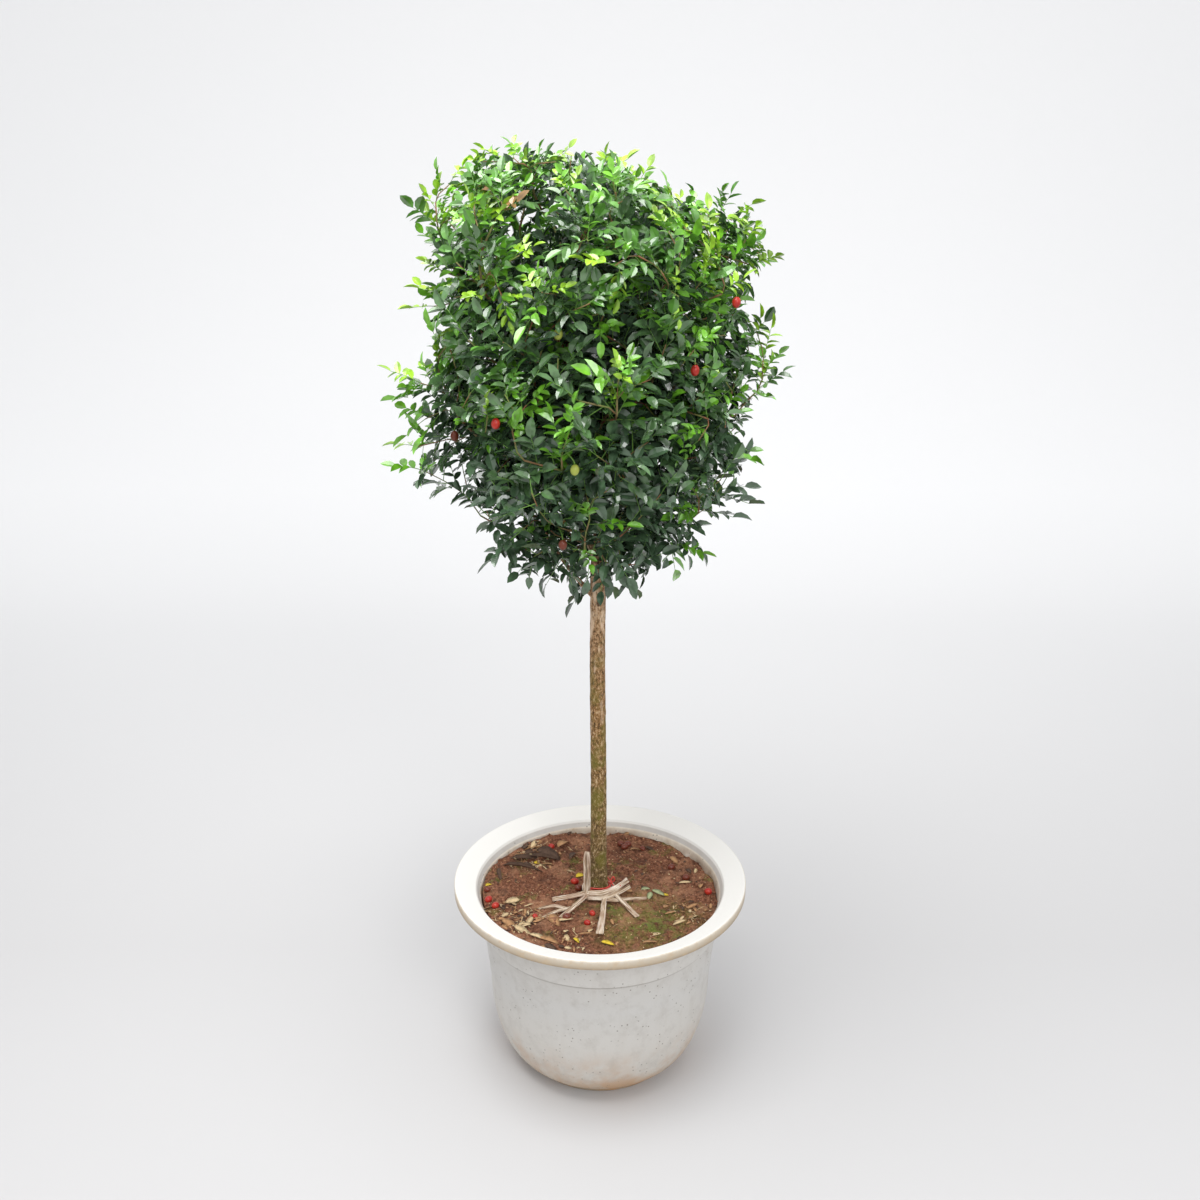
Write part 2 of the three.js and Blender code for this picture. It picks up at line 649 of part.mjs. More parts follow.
// ---------------------------------------------------------------- the plant in its pot
const tree = new THREE.Group();
const finishes = {
  pot: new THREE.MeshStandardMaterial({ color: 0xd9d6d0, roughness: 0.62, metalness: 0 }),
  soil: new THREE.MeshStandardMaterial({ color: 0x6b4231, roughness: 1, metalness: 0 }),
  bark: new THREE.MeshStandardMaterial({ color: 0x8a6c45, roughness: 0.9, metalness: 0 }),
  leaf: new THREE.MeshStandardMaterial({ color: 0x3f7a2c, roughness: 0.45, metalness: 0 }),
  strap: new THREE.MeshStandardMaterial({ color: 0xa98f7b, roughness: 0.95, metalness: 0 }),
};

function add(name, solid, finish) {
  const mesh = new THREE.Mesh(geometryOf(solid), finishes[finish]);
  mesh.name = name;
  tree.add(mesh);
}

add("pot", potSolid(), "pot");
add("soil", soilSolid(), "soil");
add("root_ball_ties", strapSolid(), "strap");

makeTrunk();
makeLeader();
BOUGHS.forEach(makeBough);

// Each limb is cut to the limbs that were there before it, with a small gap.
const grownLimbs = [];
for (const limb of limbs.values()) {
  const solid = limbSolid(limb);
  const cut = grownLimbs.length ? mainBody(solid.subtract(wasm.Manifold.union(grownLimbs))) : solid;
  add(limb.name === "trunk" || limb.name === "leader" ? limb.name : `bough_${limb.name}`, cut, "bark");
  grownLimbs.push(limbSolid(limb, GAP));
}

masses.forEach((mass, number) => add(`foliage_${mass.name}`, massSolid(mass, number), "leaf"));

export default tree;
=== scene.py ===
import math

import bpy
import numpy as np
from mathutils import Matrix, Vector, noise


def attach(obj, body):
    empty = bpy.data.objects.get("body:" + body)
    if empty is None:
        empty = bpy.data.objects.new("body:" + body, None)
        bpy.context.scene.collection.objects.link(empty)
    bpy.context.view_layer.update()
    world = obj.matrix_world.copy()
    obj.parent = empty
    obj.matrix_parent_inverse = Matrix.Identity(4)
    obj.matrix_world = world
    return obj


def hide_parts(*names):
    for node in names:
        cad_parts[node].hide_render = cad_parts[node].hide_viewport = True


# An orange jasmine trained as a standard, in a wide nursery pot. The script follows the plant as it
# is put together: the room it stands in, the pot, the soil, what lies on the soil, the ties, the stem
# and boughs, then twigs, leaves and fruit.
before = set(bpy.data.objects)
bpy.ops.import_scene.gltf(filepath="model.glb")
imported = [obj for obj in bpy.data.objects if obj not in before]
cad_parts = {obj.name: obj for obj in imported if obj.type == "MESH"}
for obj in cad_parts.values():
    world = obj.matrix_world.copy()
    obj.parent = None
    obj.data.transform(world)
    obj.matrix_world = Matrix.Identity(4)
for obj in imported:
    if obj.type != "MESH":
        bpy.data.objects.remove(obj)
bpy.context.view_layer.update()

# ---------------------------------------------------------------- floor, light and camera
# A pale studio sweep: a matt floor that curves up into the wall behind, its paint graded paler up the wall
# as painted light, lit from all round by pale air and by two large soft panels over it, and seen from a
# standing person's eye level.
EYE = (0.0, -1.807, 1.469)
LOOK_DOWN = math.radians(17.4)
LENS_MM = 33.0
SWEEP_FRONT, SWEEP_BACK, SWEEP_CURVE = -7.0, 2.6, 1.6
SWEEP_TOP, SWEEP_HALF_WIDTH, SWEEP_DROP = 7.0, 9.0, 0.0005
SWEEP_COLOUR = "#CDCCCC"
WALL_COLOUR = "#FEFEFE"


def linear(colour):
    """A '#RRGGBB' colour as linear RGBA."""
    parts = [int(colour[i:i + 2], 16) / 255 for i in (1, 3, 5)]
    return tuple(v / 12.92 if v <= 0.04045 else ((v + 0.055) / 1.055) ** 2.4 for v in parts) + (1.0,)


def add(tree, kind, settings=None, links=None):
    """Adds a node: settings give its properties, inputs or ramp stops, and links what feeds its inputs.

    A link is a socket, or a node that stands for its own first output.
    """
    made = tree.nodes.new(kind)
    for name, value in (settings or {}).items():
        if name == "stops":
            while len(made.color_ramp.elements) < len(value):
                made.color_ramp.elements.new(0.5)
            for stop, (where, colour) in zip(made.color_ramp.elements, value):
                stop.position = where
                stop.color = linear(colour)
        elif isinstance(name, str) and hasattr(made, name):
            setattr(made, name, value)
        else:
            made.inputs[name].default_value = value
    for name, source in (links or {}).items():
        socket = source.outputs[0] if isinstance(source, bpy.types.Node) else source
        tree.links.new(socket, made.inputs[name])
    return made


def new_finish(name, colour, roughness, ior=1.5):
    """A material with a plain Principled shader, and its tree and shader to build on."""
    made = bpy.data.materials.new(name)
    made.use_nodes = True
    shader = made.node_tree.nodes["Principled BSDF"]
    shader.inputs["Base Color"].default_value = linear(colour)
    shader.inputs["Roughness"].default_value = roughness
    shader.inputs["IOR"].default_value = ior
    return made, made.node_tree, shader


def new_piece(name, points, faces, finish, smooth=True):
    """A mesh object at the origin from points in metres."""
    mesh = bpy.data.meshes.new(name)
    mesh.from_pydata([tuple(p) for p in points], [], [tuple(f) for f in faces])
    mesh.materials.append(finish)
    mesh.polygons.foreach_set("use_smooth", [smooth] * len(mesh.polygons))
    mesh.update()
    made = bpy.data.objects.new(name, mesh)
    bpy.context.collection.objects.link(made)
    return made


sweep_line = [(SWEEP_FRONT, 0.0), (0.0, 0.0), (SWEEP_BACK, 0.0)]
sweep_line += [
    (SWEEP_BACK + SWEEP_CURVE * math.sin(a), SWEEP_CURVE * (1 - math.cos(a)))
    for a in np.linspace(0.1, math.pi / 2, 14)
]
sweep_line.append((SWEEP_BACK + SWEEP_CURVE, SWEEP_TOP))
sweep_sides = (-SWEEP_HALF_WIDTH, SWEEP_HALF_WIDTH)
sweep_points = [(x, y, z - SWEEP_DROP) for y, z in sweep_line for x in sweep_sides]
sweep_faces = [(2 * i, 2 * i + 1, 2 * i + 3, 2 * i + 2) for i in range(len(sweep_line) - 1)]
sweep_paint, tree, shader = new_finish("matt studio paint", SWEEP_COLOUR, 0.95)
# Painted light on the backdrop: the paint grades from grey on the floor to near white up the wall behind.
place = add(tree, "ShaderNodeTexCoord").outputs["Object"]
depth = add(tree, "ShaderNodeSeparateXYZ", links={0: place}).outputs["Y"]
painted_light_fade = add(tree, "ShaderNodeMapRange", {"From Min": 0.3, "From Max": 3.6}, {"Value": depth})
settings = {"data_type": "RGBA", 6: linear(SWEEP_COLOUR), 7: linear(WALL_COLOUR)}
paint = add(tree, "ShaderNodeMix", settings, {0: painted_light_fade}).outputs[2]
tree.links.new(paint, shader.inputs["Base Color"])
sweep = new_piece("studio_sweep", sweep_points, sweep_faces, sweep_paint)

air = bpy.data.worlds.new("studio air")
air.use_nodes = True
air.node_tree.nodes["Background"].inputs["Color"].default_value = linear("#FAFBFD")
air.node_tree.nodes["Background"].inputs["Strength"].default_value = 0.82
bpy.context.scene.world = air


def new_panel(name, place, aim, size, watts):
    """A square soft light panel that faces a point."""
    lamp = bpy.data.lights.new(name, "AREA")
    lamp.size = size
    lamp.energy = watts
    made = bpy.data.objects.new(name, lamp)
    made.location = place
    made.rotation_euler = (Vector(aim) - Vector(place)).to_track_quat("-Z", "Y").to_euler()
    bpy.context.collection.objects.link(made)


new_panel("ceiling_panel", (-0.35, -0.55, 2.95), (0, 0, 1.0), 1.5, 50)
new_panel("front_panel", (1.2, -3.4, 3.0), (0, 0, 1.0), 1.6, 50)

camera = bpy.data.objects.new("camera", bpy.data.cameras.new("camera"))
camera.data.lens = LENS_MM
camera.data.sensor_width = 36.0
camera.location = EYE
camera.rotation_euler = (math.pi / 2 - LOOK_DOWN, 0, 0)
bpy.context.collection.objects.link(camera)
bpy.context.scene.camera = camera
bpy.context.scene.view_settings.view_transform = "Standard"

# ---------------------------------------------------------------- pot
# A wide nursery pot of off-white polypropylene, turned to a bell with a flared lip and a small moulded
# ledge under its collar. Years outdoors left dirt on the foot and lip, tan stains and fine dark pits.
POT_HEIGHT, LIP_RADIUS, LIP_DEPTH = 0.369, 0.270, 0.018
MOUTH_RADIUS, MOUTH_DROP = 0.231, 0.014
COLLAR_RADIUS, COLLAR_BOTTOM, COLLAR_STEP = 0.228, 0.280, 0.0025
SHOULDER_RADIUS, SHOULDER_HEIGHT = 0.2075, 0.172
FOOT_RADIUS, FOOT_HEIGHT, FOOT_RING = 0.138, 0.011, 0.006
POT_WALL, POT_FLOOR, BOWL_POWER = 0.006, 0.014, 2.1
POT_SEGMENTS = 160


def body_radius(z):
    """Radius of the pot's outer wall at a height, below the lip."""
    if z < SHOULDER_HEIGHT:
        u = min((SHOULDER_HEIGHT - z) / (SHOULDER_HEIGHT - FOOT_HEIGHT), 1.0)
        swell = (1 - u ** BOWL_POWER) ** (1 / BOWL_POWER)
        return FOOT_RADIUS - 0.002 + (SHOULDER_RADIUS - FOOT_RADIUS + 0.002) * swell
    under = POT_HEIGHT - LIP_DEPTH - 0.005
    t = (z - SHOULDER_HEIGHT) / (under - SHOULDER_HEIGHT)
    wall = SHOULDER_RADIUS + (COLLAR_RADIUS - COLLAR_STEP - SHOULDER_RADIUS) * t
    return wall if z < COLLAR_BOTTOM else wall + COLLAR_STEP


def bent(first, bend, last, t):
    """The point at t, 0 to 1, or the points for a column of t, of a curve that is pulled towards its bend."""
    return (1 - t) ** 2 * first + 2 * t * (1 - t) * bend + t ** 2 * last


def filleted(corners):
    """A profile through (radius, height, fillet) corners; a fillet is an arc, held flat on both sides."""
    line = []
    for i, (r, z, fillet) in enumerate(corners):
        if fillet == 0:
            line.append((r, z))
            continue
        corner = np.array((r, z))
        back, on = np.array(corners[i - 1][:2]) - corner, np.array(corners[i + 1][:2]) - corner
        back_length, on_length = np.linalg.norm(back), np.linalg.norm(on)
        back, on = back / back_length, on / on_length
        half = math.acos(min(max(back.dot(on), -1), 1)) / 2
        cut = min(fillet / math.tan(half), 0.3 * back_length, 0.3 * on_length)
        first, last = corner + back * cut, corner + on * cut
        line.append(tuple(corner + back * 1.5 * cut))
        for t in np.linspace(0, 1, 5):
            line.append(tuple(bent(first, corner, last, t)))
        line.append(tuple(corner + on * 1.5 * cut))
    return line


def turned(profile, segments):
    """Points and faces of a profile turned round Z; a radius of 0 makes one pole point."""
    points, rows = [], []
    for r, z in profile:
        if r < 1e-6:
            rows.append([len(points)] * segments)
            points.append((0.0, 0.0, z))
            continue
        rows.append(list(range(len(points), len(points) + segments)))
        for k in range(segments):
            a = 2 * math.pi * k / segments
            points.append((r * math.cos(a), r * math.sin(a), z))
    faces = []
    for low, high in zip(rows, rows[1:]):
        for k in range(segments):
            corners = [low[k], low[(k + 1) % segments], high[(k + 1) % segments], high[k]]
            faces.append([c for i, c in enumerate(corners) if c != corners[i - 1]])
    return points, faces


lip_under = POT_HEIGHT - LIP_DEPTH
bowl_height = SHOULDER_HEIGHT - FOOT_HEIGHT
bowl_heights = [FOOT_HEIGHT + bowl_height * (1 - math.cos(a)) for a in np.linspace(0.10, math.pi / 2, 20)]
ring_radius = FOOT_RADIUS + FOOT_RING
over_foot = FOOT_HEIGHT + 0.0003
pot_corners = [
    (0, 0, 0),
    (FOOT_RADIUS - 0.010, 0, 0),
    (ring_radius, 0, 0.0015),
    (ring_radius, FOOT_HEIGHT, 0.0015),
    (body_radius(over_foot), over_foot, 0),
]
pot_corners += [(body_radius(z), z, 0) for z in bowl_heights]
pot_corners += [(body_radius(z), z, 0) for z in np.linspace(0.19, COLLAR_BOTTOM - 0.006, 8)]
pot_corners += [
    (body_radius(COLLAR_BOTTOM - 0.0006), COLLAR_BOTTOM - 0.0006, 0.0004),
    (body_radius(COLLAR_BOTTOM), COLLAR_BOTTOM + 0.0002, 0.0009),
]
pot_corners += [(body_radius(z), z, 0) for z in np.linspace(COLLAR_BOTTOM + 0.006, lip_under - 0.012, 6)]
pot_corners += [
    (body_radius(lip_under - 0.005), lip_under, 0.004),
    (LIP_RADIUS, lip_under, 0.0018),
    (LIP_RADIUS, POT_HEIGHT, 0.0026),
    (MOUTH_RADIUS, POT_HEIGHT - MOUTH_DROP, 0.003),
    (body_radius(0.334) - POT_WALL + 0.002, 0.340, 0.004),
]
pot_corners += [(body_radius(z) - POT_WALL, z, 0) for z in (0.320, SHOULDER_HEIGHT, 0.08, 0.036, POT_FLOOR)]
pot_corners.append((0, POT_FLOOR, 0))
pot_points, pot_faces = turned(filleted(pot_corners), POT_SEGMENTS)

# Weathered polypropylene: soft low gloss, chalky white where the sun bleached the lip.
pot_finish, tree, shader = new_finish("weathered polypropylene", "#CBC8C3", 0.55, 1.49)


def mask(tree, *ranges):
    """The product of shares, one for each range of value, where it is 0, where it is most, and the most."""
    product = None
    for value, low, high, most in ranges:
        settings = {"From Min": low, "From Max": high, "To Max": most}
        share = add(tree, "ShaderNodeMapRange", settings, {"Value": value})
        if product is not None:
            share = add(tree, "ShaderNodeMath", {"operation": "MULTIPLY"}, {0: product, 1: share})
        product = share
    return product


def stained(tree, under, colour, *ranges):
    """A colour laid over another one, as thickly as the mask of the ranges says."""
    settings = {"data_type": "RGBA", 7: linear(colour)}
    return add(tree, "ShaderNodeMix", settings, {0: mask(tree, *ranges), 6: under}).outputs[2]


place = add(tree, "ShaderNodeTexCoord").outputs["Object"]
height = add(tree, "ShaderNodeSeparateXYZ", links={0: place}).outputs["Z"]
level = add(tree, "ShaderNodeMath", {"operation": "DIVIDE", 1: POT_HEIGHT}, {0: height})
flat = add(tree, "ShaderNodeVectorMath", {"operation": "MULTIPLY", 1: (1, 1, 0)}, {0: place})
girth = add(tree, "ShaderNodeVectorMath", {"operation": "LENGTH"}, {0: flat}).outputs["Value"]
# From the dirty foot, with a line of painted shade over its ring, to a line of painted shadow under the
# collar's ledge.
wall_dirt_and_painted_shade = [
    (0.000, "#A39078"),
    (0.026, "#AC9A82"),
    # Painted shade in the crease over the foot ring.
    (0.031, "#5F5241"),
    (0.046, "#A8967F"),
    (0.080, "#C0B19D"),
    (0.180, "#C9C4BC"),
    (0.600, "#C9C7C3"),
    (0.748, "#C6C3BE"),
    # Painted shadow under the collar's ledge.
    (0.757, "#7F786E"),
    (0.762, "#CBC8C3"),
    (0.945, "#C6C2BC"),
]
body = add(tree, "ShaderNodeValToRGB", {"stops": wall_dirt_and_painted_shade}, {0: level})
# A pattern's scale is 1000 over the millimetres from one patch to the next, here and further on.
# Tan stains some 60 mm apart, thickest on the lower bowl.
stains = add(tree, "ShaderNodeTexNoise", {"Scale": 16.0, "Detail": 6.0, "Roughness": 0.62}, {"Vector": place})
body = stained(tree, body, "#B98E63", (height, 0.14, 0.0, 1.0), (stains, 0.41, 0.62, 1.0))
# Dull grey blotches 26 mm apart where dust settled, and faint streaks where water ran down the wall.
dust = add(tree, "ShaderNodeTexNoise", {"Scale": 38.0, "Detail": 7.0, "Roughness": 0.7}, {"Vector": place})
body = stained(tree, body, "#A8A29A", (dust, 0.48, 0.74, 0.42))
upright = add(tree, "ShaderNodeMapping", {"Scale": (1.0, 1.0, 0.10)}, {"Vector": place})
streaks = add(tree, "ShaderNodeTexNoise", {"Scale": 46.0, "Detail": 4.0}, {"Vector": upright})
body = stained(tree, body, "#A79C8D", (streaks, 0.55, 0.78, 0.14))
# The inner wall is beige with dirt, and painted far paler than the outer wall as painted light that lifts its
# shade; a brown line runs just over the soil.
inner_wall = mask(tree, (girth, 0.2245, 0.2235, 1.0), (height, 0.317, 0.319, 1.0))
cast = add(tree, "ShaderNodeTexNoise", {"Scale": 30.0, "Detail": 6.0, "Roughness": 0.65}, {"Vector": place})
# Painted light: these colours are much paler than the same plastic outside.
inner_beige_and_painted_light = [(0.35, "#F0EADD"), (0.60, "#E0D5C2"), (0.75, "#BFA98C")]
inner = add(tree, "ShaderNodeValToRGB", {"stops": inner_beige_and_painted_light}, {0: cast})
body = add(tree, "ShaderNodeMix", {"data_type": "RGBA"}, {0: inner_wall, 6: body, 7: inner}).outputs[2]
soil_line = mask(tree, (height, 0.346, 0.330, 0.75), (stains, 0.35, 0.60, 1.0))
body = stained(tree, body, "#8F745C", (inner_wall, 0, 1, 1.0), (soil_line, 0, 1, 1.0))
# The lip is clean and white on top, and its edge is cream with dirt, darker towards its foot and paler up to
# a painted highlight along its top.
body = stained(tree, body, "#EAE8E3", (height, lip_under - 0.0015, lip_under + 0.0005, 1.0))
lip_edge = mask(tree, (girth, 0.2680, 0.2694, 1.0), (level, 0.945, 0.955, 1.0))
# Painted highlight: the edge's colour grows paler up to its top.
edge_dirt_and_painted_highlight = [(0.951, "#94816A"), (0.968, "#BAAC97"), (0.988, "#CFC4B3"), (1.000, "#E4DED2")]
edge = add(tree, "ShaderNodeValToRGB", {"stops": edge_dirt_and_painted_highlight}, {0: level})
dirt = add(tree, "ShaderNodeTexNoise", {"Scale": 60.0, "Detail": 6.0, "Roughness": 0.7}, {"Vector": place})
edge = stained(tree, edge, "#C4AB88", (dirt, 0.46, 0.70, 0.6))
body = add(tree, "ShaderNodeMix", {"data_type": "RGBA"}, {0: lip_edge, 6: body, 7: edge}).outputs[2]
# Fine dark pits about 2 mm across, in patches 45 mm apart.
pits = add(tree, "ShaderNodeTexVoronoi", {"Scale": 105.0}, {"Vector": place})
pitted = add(tree, "ShaderNodeTexNoise", {"Scale": 22.0, "Detail": 2.0}, {"Vector": place})
pit_share = mask(tree, (pits, 0.18, 0.10, 1.0), (pitted, 0.46, 0.58, 0.75), (level, 0.95, 0.94, 1.0))
body = stained(tree, body, "#6B6358", (pit_share, 0, 1, 1.0))
tree.links.new(body, shader.inputs["Base Color"])
# The fine texture of the moulded skin, drawn at 4 mm, as coarse as it needs to show.
skin = add(tree, "ShaderNodeTexNoise", {"Scale": 240.0, "Detail": 4.0, "Roughness": 0.6}, {"Vector": place})
skin_relief = add(tree, "ShaderNodeMath", {"operation": "SUBTRACT"}, {0: skin, 1: pit_share})
skin_bump = add(tree, "ShaderNodeBump", {"Strength": 0.3, "Distance": 0.0006}, {"Height": skin_relief})
tree.links.new(skin_bump.outputs[0], shader.inputs["Normal"])

pot = new_piece("pot_shell", pot_points, pot_faces, pot_finish)
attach(pot, "root")
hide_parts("pot")

# ---------------------------------------------------------------- soil
# A reddish brown loam that has settled below the lip, heaped on the left and washed into small clods
# and hollows; algae tints it green in a few damp places, and loose crumbs lie all over it.
SOIL_LEVEL, SOIL_RISE, SOIL_UNDERSIDE = 0.327, 0.007, 0.290
SOIL_EDGE, UNDERSIDE_EDGE = 0.2187, 0.2150
STEM_X = -0.003
MOSS_MIDDLE = (0.085, -0.10, 0.33)
SOIL_SEGMENTS = 180
CRUMBS_PER_M2 = 12000.0


def held(value):
    """A value held between 0 and 1."""
    return min(max(value, 0.0), 1.0)


def soil_height(x, y):
    """Height of the soil's surface in metres: swells, 24 mm clods, 8 mm crumbs and a bank at the wall."""
    r = math.hypot(x, y)
    away = held((r - 0.030) / 0.060)
    swell = math.sin(x / 0.041 + 1.2) * math.cos(y / 0.053 - 0.4)
    broad = away * (0.0030 * swell - SOIL_RISE * x / 0.200)
    clods = noise.fractal(Vector((x * 42, y * 42, 1.7)), 1.0, 2.1, 5) * 0.0052
    crumbs = max(0.0, noise.noise(Vector((x * 120, y * 120, 8.0)))) * 0.0062
    edge = max(0.0, (r - 0.185) / 0.035)
    bank = 0.007 * edge * (0.6 + noise.noise(Vector((x * 22, y * 22, 3.0))))
    return SOIL_LEVEL + broad + (clods + crumbs) * (0.35 + 0.65 * away) + bank


# The surface's rings stand at a height over the pot until soil_height gives them their own.
surface = 2 * POT_HEIGHT
soil_rings = [SOIL_EDGE] + list(np.linspace(0.2165, 0.004, 84)) + [0.0]
soil_profile = [(0.0, SOIL_UNDERSIDE), (UNDERSIDE_EDGE, SOIL_UNDERSIDE)] + [(r, surface) for r in soil_rings]
soil_points, soil_faces = turned(soil_profile, SOIL_SEGMENTS)
soil_points = [(x, y, soil_height(x, y) if z == surface else z) for x, y, z in soil_points]

# Damp loam: quite matt, dark in its hollows and paler where crumbs have dried.
soil_finish, tree, shader = new_finish("reddish loam", "#74483A", 0.95, 1.4)
place = add(tree, "ShaderNodeTexCoord").outputs["Object"]
grit = add(tree, "ShaderNodeTexNoise", {"Scale": 190.0, "Detail": 9.0, "Roughness": 0.72}, {"Vector": place})
earth_colours = [(0.32, "#341C13"), (0.44, "#6A422E"), (0.56, "#8B5C44"), (0.70, "#BF8B69")]
earth = add(tree, "ShaderNodeValToRGB", {"stops": earth_colours}, {0: grit})
# Patches 40 to 60 mm apart that have dried pale or stayed wet and dark.
dried = add(tree, "ShaderNodeTexNoise", {"Scale": 17.0, "Detail": 5.0}, {"Vector": place})
earth = stained(tree, earth, "#B98B6A", (dried, 0.50, 0.68, 0.6))
wet = add(tree, "ShaderNodeTexNoise", {"Scale": 24.0, "Detail": 6.0, "Roughness": 0.65}, {"Vector": place})
earth = stained(tree, earth, "#3E251B", (wet, 0.52, 0.64, 0.6))
# Moss, thickest in one place and broken up at its edge, and a thin cast of algae elsewhere.
settings = {"operation": "DISTANCE", 1: MOSS_MIDDLE}
off_moss = add(tree, "ShaderNodeVectorMath", settings, {0: place}).outputs["Value"]
ragged = add(tree, "ShaderNodeTexNoise", {"Scale": 60.0, "Detail": 7.0, "Roughness": 0.75}, {"Vector": place})
earth = stained(tree, earth, "#6E7C33", (off_moss, 0.13, 0.03, 1.0), (ragged, 0.40, 0.60, 0.75))
algae = add(tree, "ShaderNodeTexNoise", {"Scale": 15.0, "Detail": 8.0, "Roughness": 0.75}, {"Vector": place})
earth = stained(tree, earth, "#66752F", (algae, 0.55, 0.64, 0.6))
# Pale flecks of grit, 1 to 2 mm across.
flecks = add(tree, "ShaderNodeTexVoronoi", {"Scale": 95.0}, {"Vector": place})
earth = stained(tree, earth, "#CDAE85", (flecks, 0.16, 0.07, 0.8))
tree.links.new(earth, shader.inputs["Base Color"])
soil_bump = add(tree, "ShaderNodeBump", {"Strength": 0.9, "Distance": 0.003}, {"Height": grit})
tree.links.new(soil_bump.outputs[0], shader.inputs["Normal"])

soil = new_piece("soil_surface", soil_points, soil_faces, soil_finish)
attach(soil, "root")
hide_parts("soil")


def crumb_tree():
    """Scatters faceted crumbs over a surface; the density, sizes and seed are named inputs."""
    made = bpy.data.node_groups.new("soil crumbs", "GeometryNodeTree")
    made.interface.new_socket("Geometry", in_out="INPUT", socket_type="NodeSocketGeometry")
    for name, kind, value in (
        ("Density", "NodeSocketFloat", CRUMBS_PER_M2),
        ("Smallest", "NodeSocketFloat", 0.0009),
        ("Largest", "NodeSocketFloat", 0.0036),
        ("Seed", "NodeSocketInt", 5),
        ("Finish", "NodeSocketMaterial", None),
    ):
        socket = made.interface.new_socket(name, in_out="INPUT", socket_type=kind)
        if value is not None:
            socket.default_value = value
    made.interface.new_socket("Geometry", in_out="OUTPUT", socket_type="NodeSocketGeometry")
    given = add(made, "NodeGroupInput")
    facing = add(made, "ShaderNodeSeparateXYZ", links={0: add(made, "GeometryNodeInputNormal")})
    settings = {"data_type": "FLOAT", "operation": "GREATER_THAN", 1: 0.6}
    upward = add(made, "FunctionNodeCompare", settings, {0: facing.outputs["Z"]})
    spread = add(made, "GeometryNodeDistributePointsOnFaces", links={
        "Mesh": given.outputs["Geometry"],
        "Selection": upward,
        "Density": given.outputs["Density"],
        "Seed": given.outputs["Seed"],
    })
    crumb = add(made, "GeometryNodeMeshIcoSphere", {"Radius": 1.0, "Subdivisions": 1})
    size = add(made, "FunctionNodeRandomValue", {"data_type": "FLOAT"}, {
        2: given.outputs["Smallest"],
        3: given.outputs["Largest"],
        "Seed": given.outputs["Seed"],
    })
    settings = {"data_type": "FLOAT_VECTOR", 0: (0, 0, 0), 1: (6.28, 6.28, 6.28)}
    turn = add(made, "FunctionNodeRandomValue", settings)
    placed = add(made, "GeometryNodeInstanceOnPoints", links={
        "Points": spread,
        "Instance": crumb,
        "Rotation": turn,
        "Scale": size.outputs[1],
    })
    real = add(made, "GeometryNodeRealizeInstances", links={0: placed})
    links = {"Geometry": real, "Material": given.outputs["Finish"]}
    painted = add(made, "GeometryNodeSetMaterial", links=links)
    add(made, "NodeGroupOutput", links={0: painted})
    return made


crumbs = new_piece("soil_crumbs", soil_points, soil_faces, soil_finish)
scatter = crumbs.modifiers.new("scatter", "NODES")
scatter.node_group = crumb_tree()
for item in scatter.node_group.interface.items_tree:
    if item.in_out == "INPUT" and item.name == "Finish":
        scatter[item.identifier] = soil_finish
scattered = bpy.data.meshes.new_from_object(crumbs.evaluated_get(bpy.context.evaluated_depsgraph_get()))
crumbs.modifiers.remove(scatter)
crumbs.data = scattered
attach(crumbs, "root")

# ---------------------------------------------------------------- litter
# What the plant has dropped: dead leaves that curl as they dry, bits of straw and stalk, and ripe
# fruits of the jasmine, some gone dark. It all lies loose on the soil.
# From here on sizes and places are in millimetres, and this makes them metres.
MM = 0.001
LITTER_RADIUS, STEM_ROOM = 214, 40
FRUIT_RADIUS, FRUIT_LENGTH = 6.6, 16.5
LITTER_COLOURS = {
    "straw": "#D8BE93",
    "tan": "#B98C62",
    "umber": "#5C4638",
    "yellow": "#E3C43C",
    "faded": "#A9B184",
}
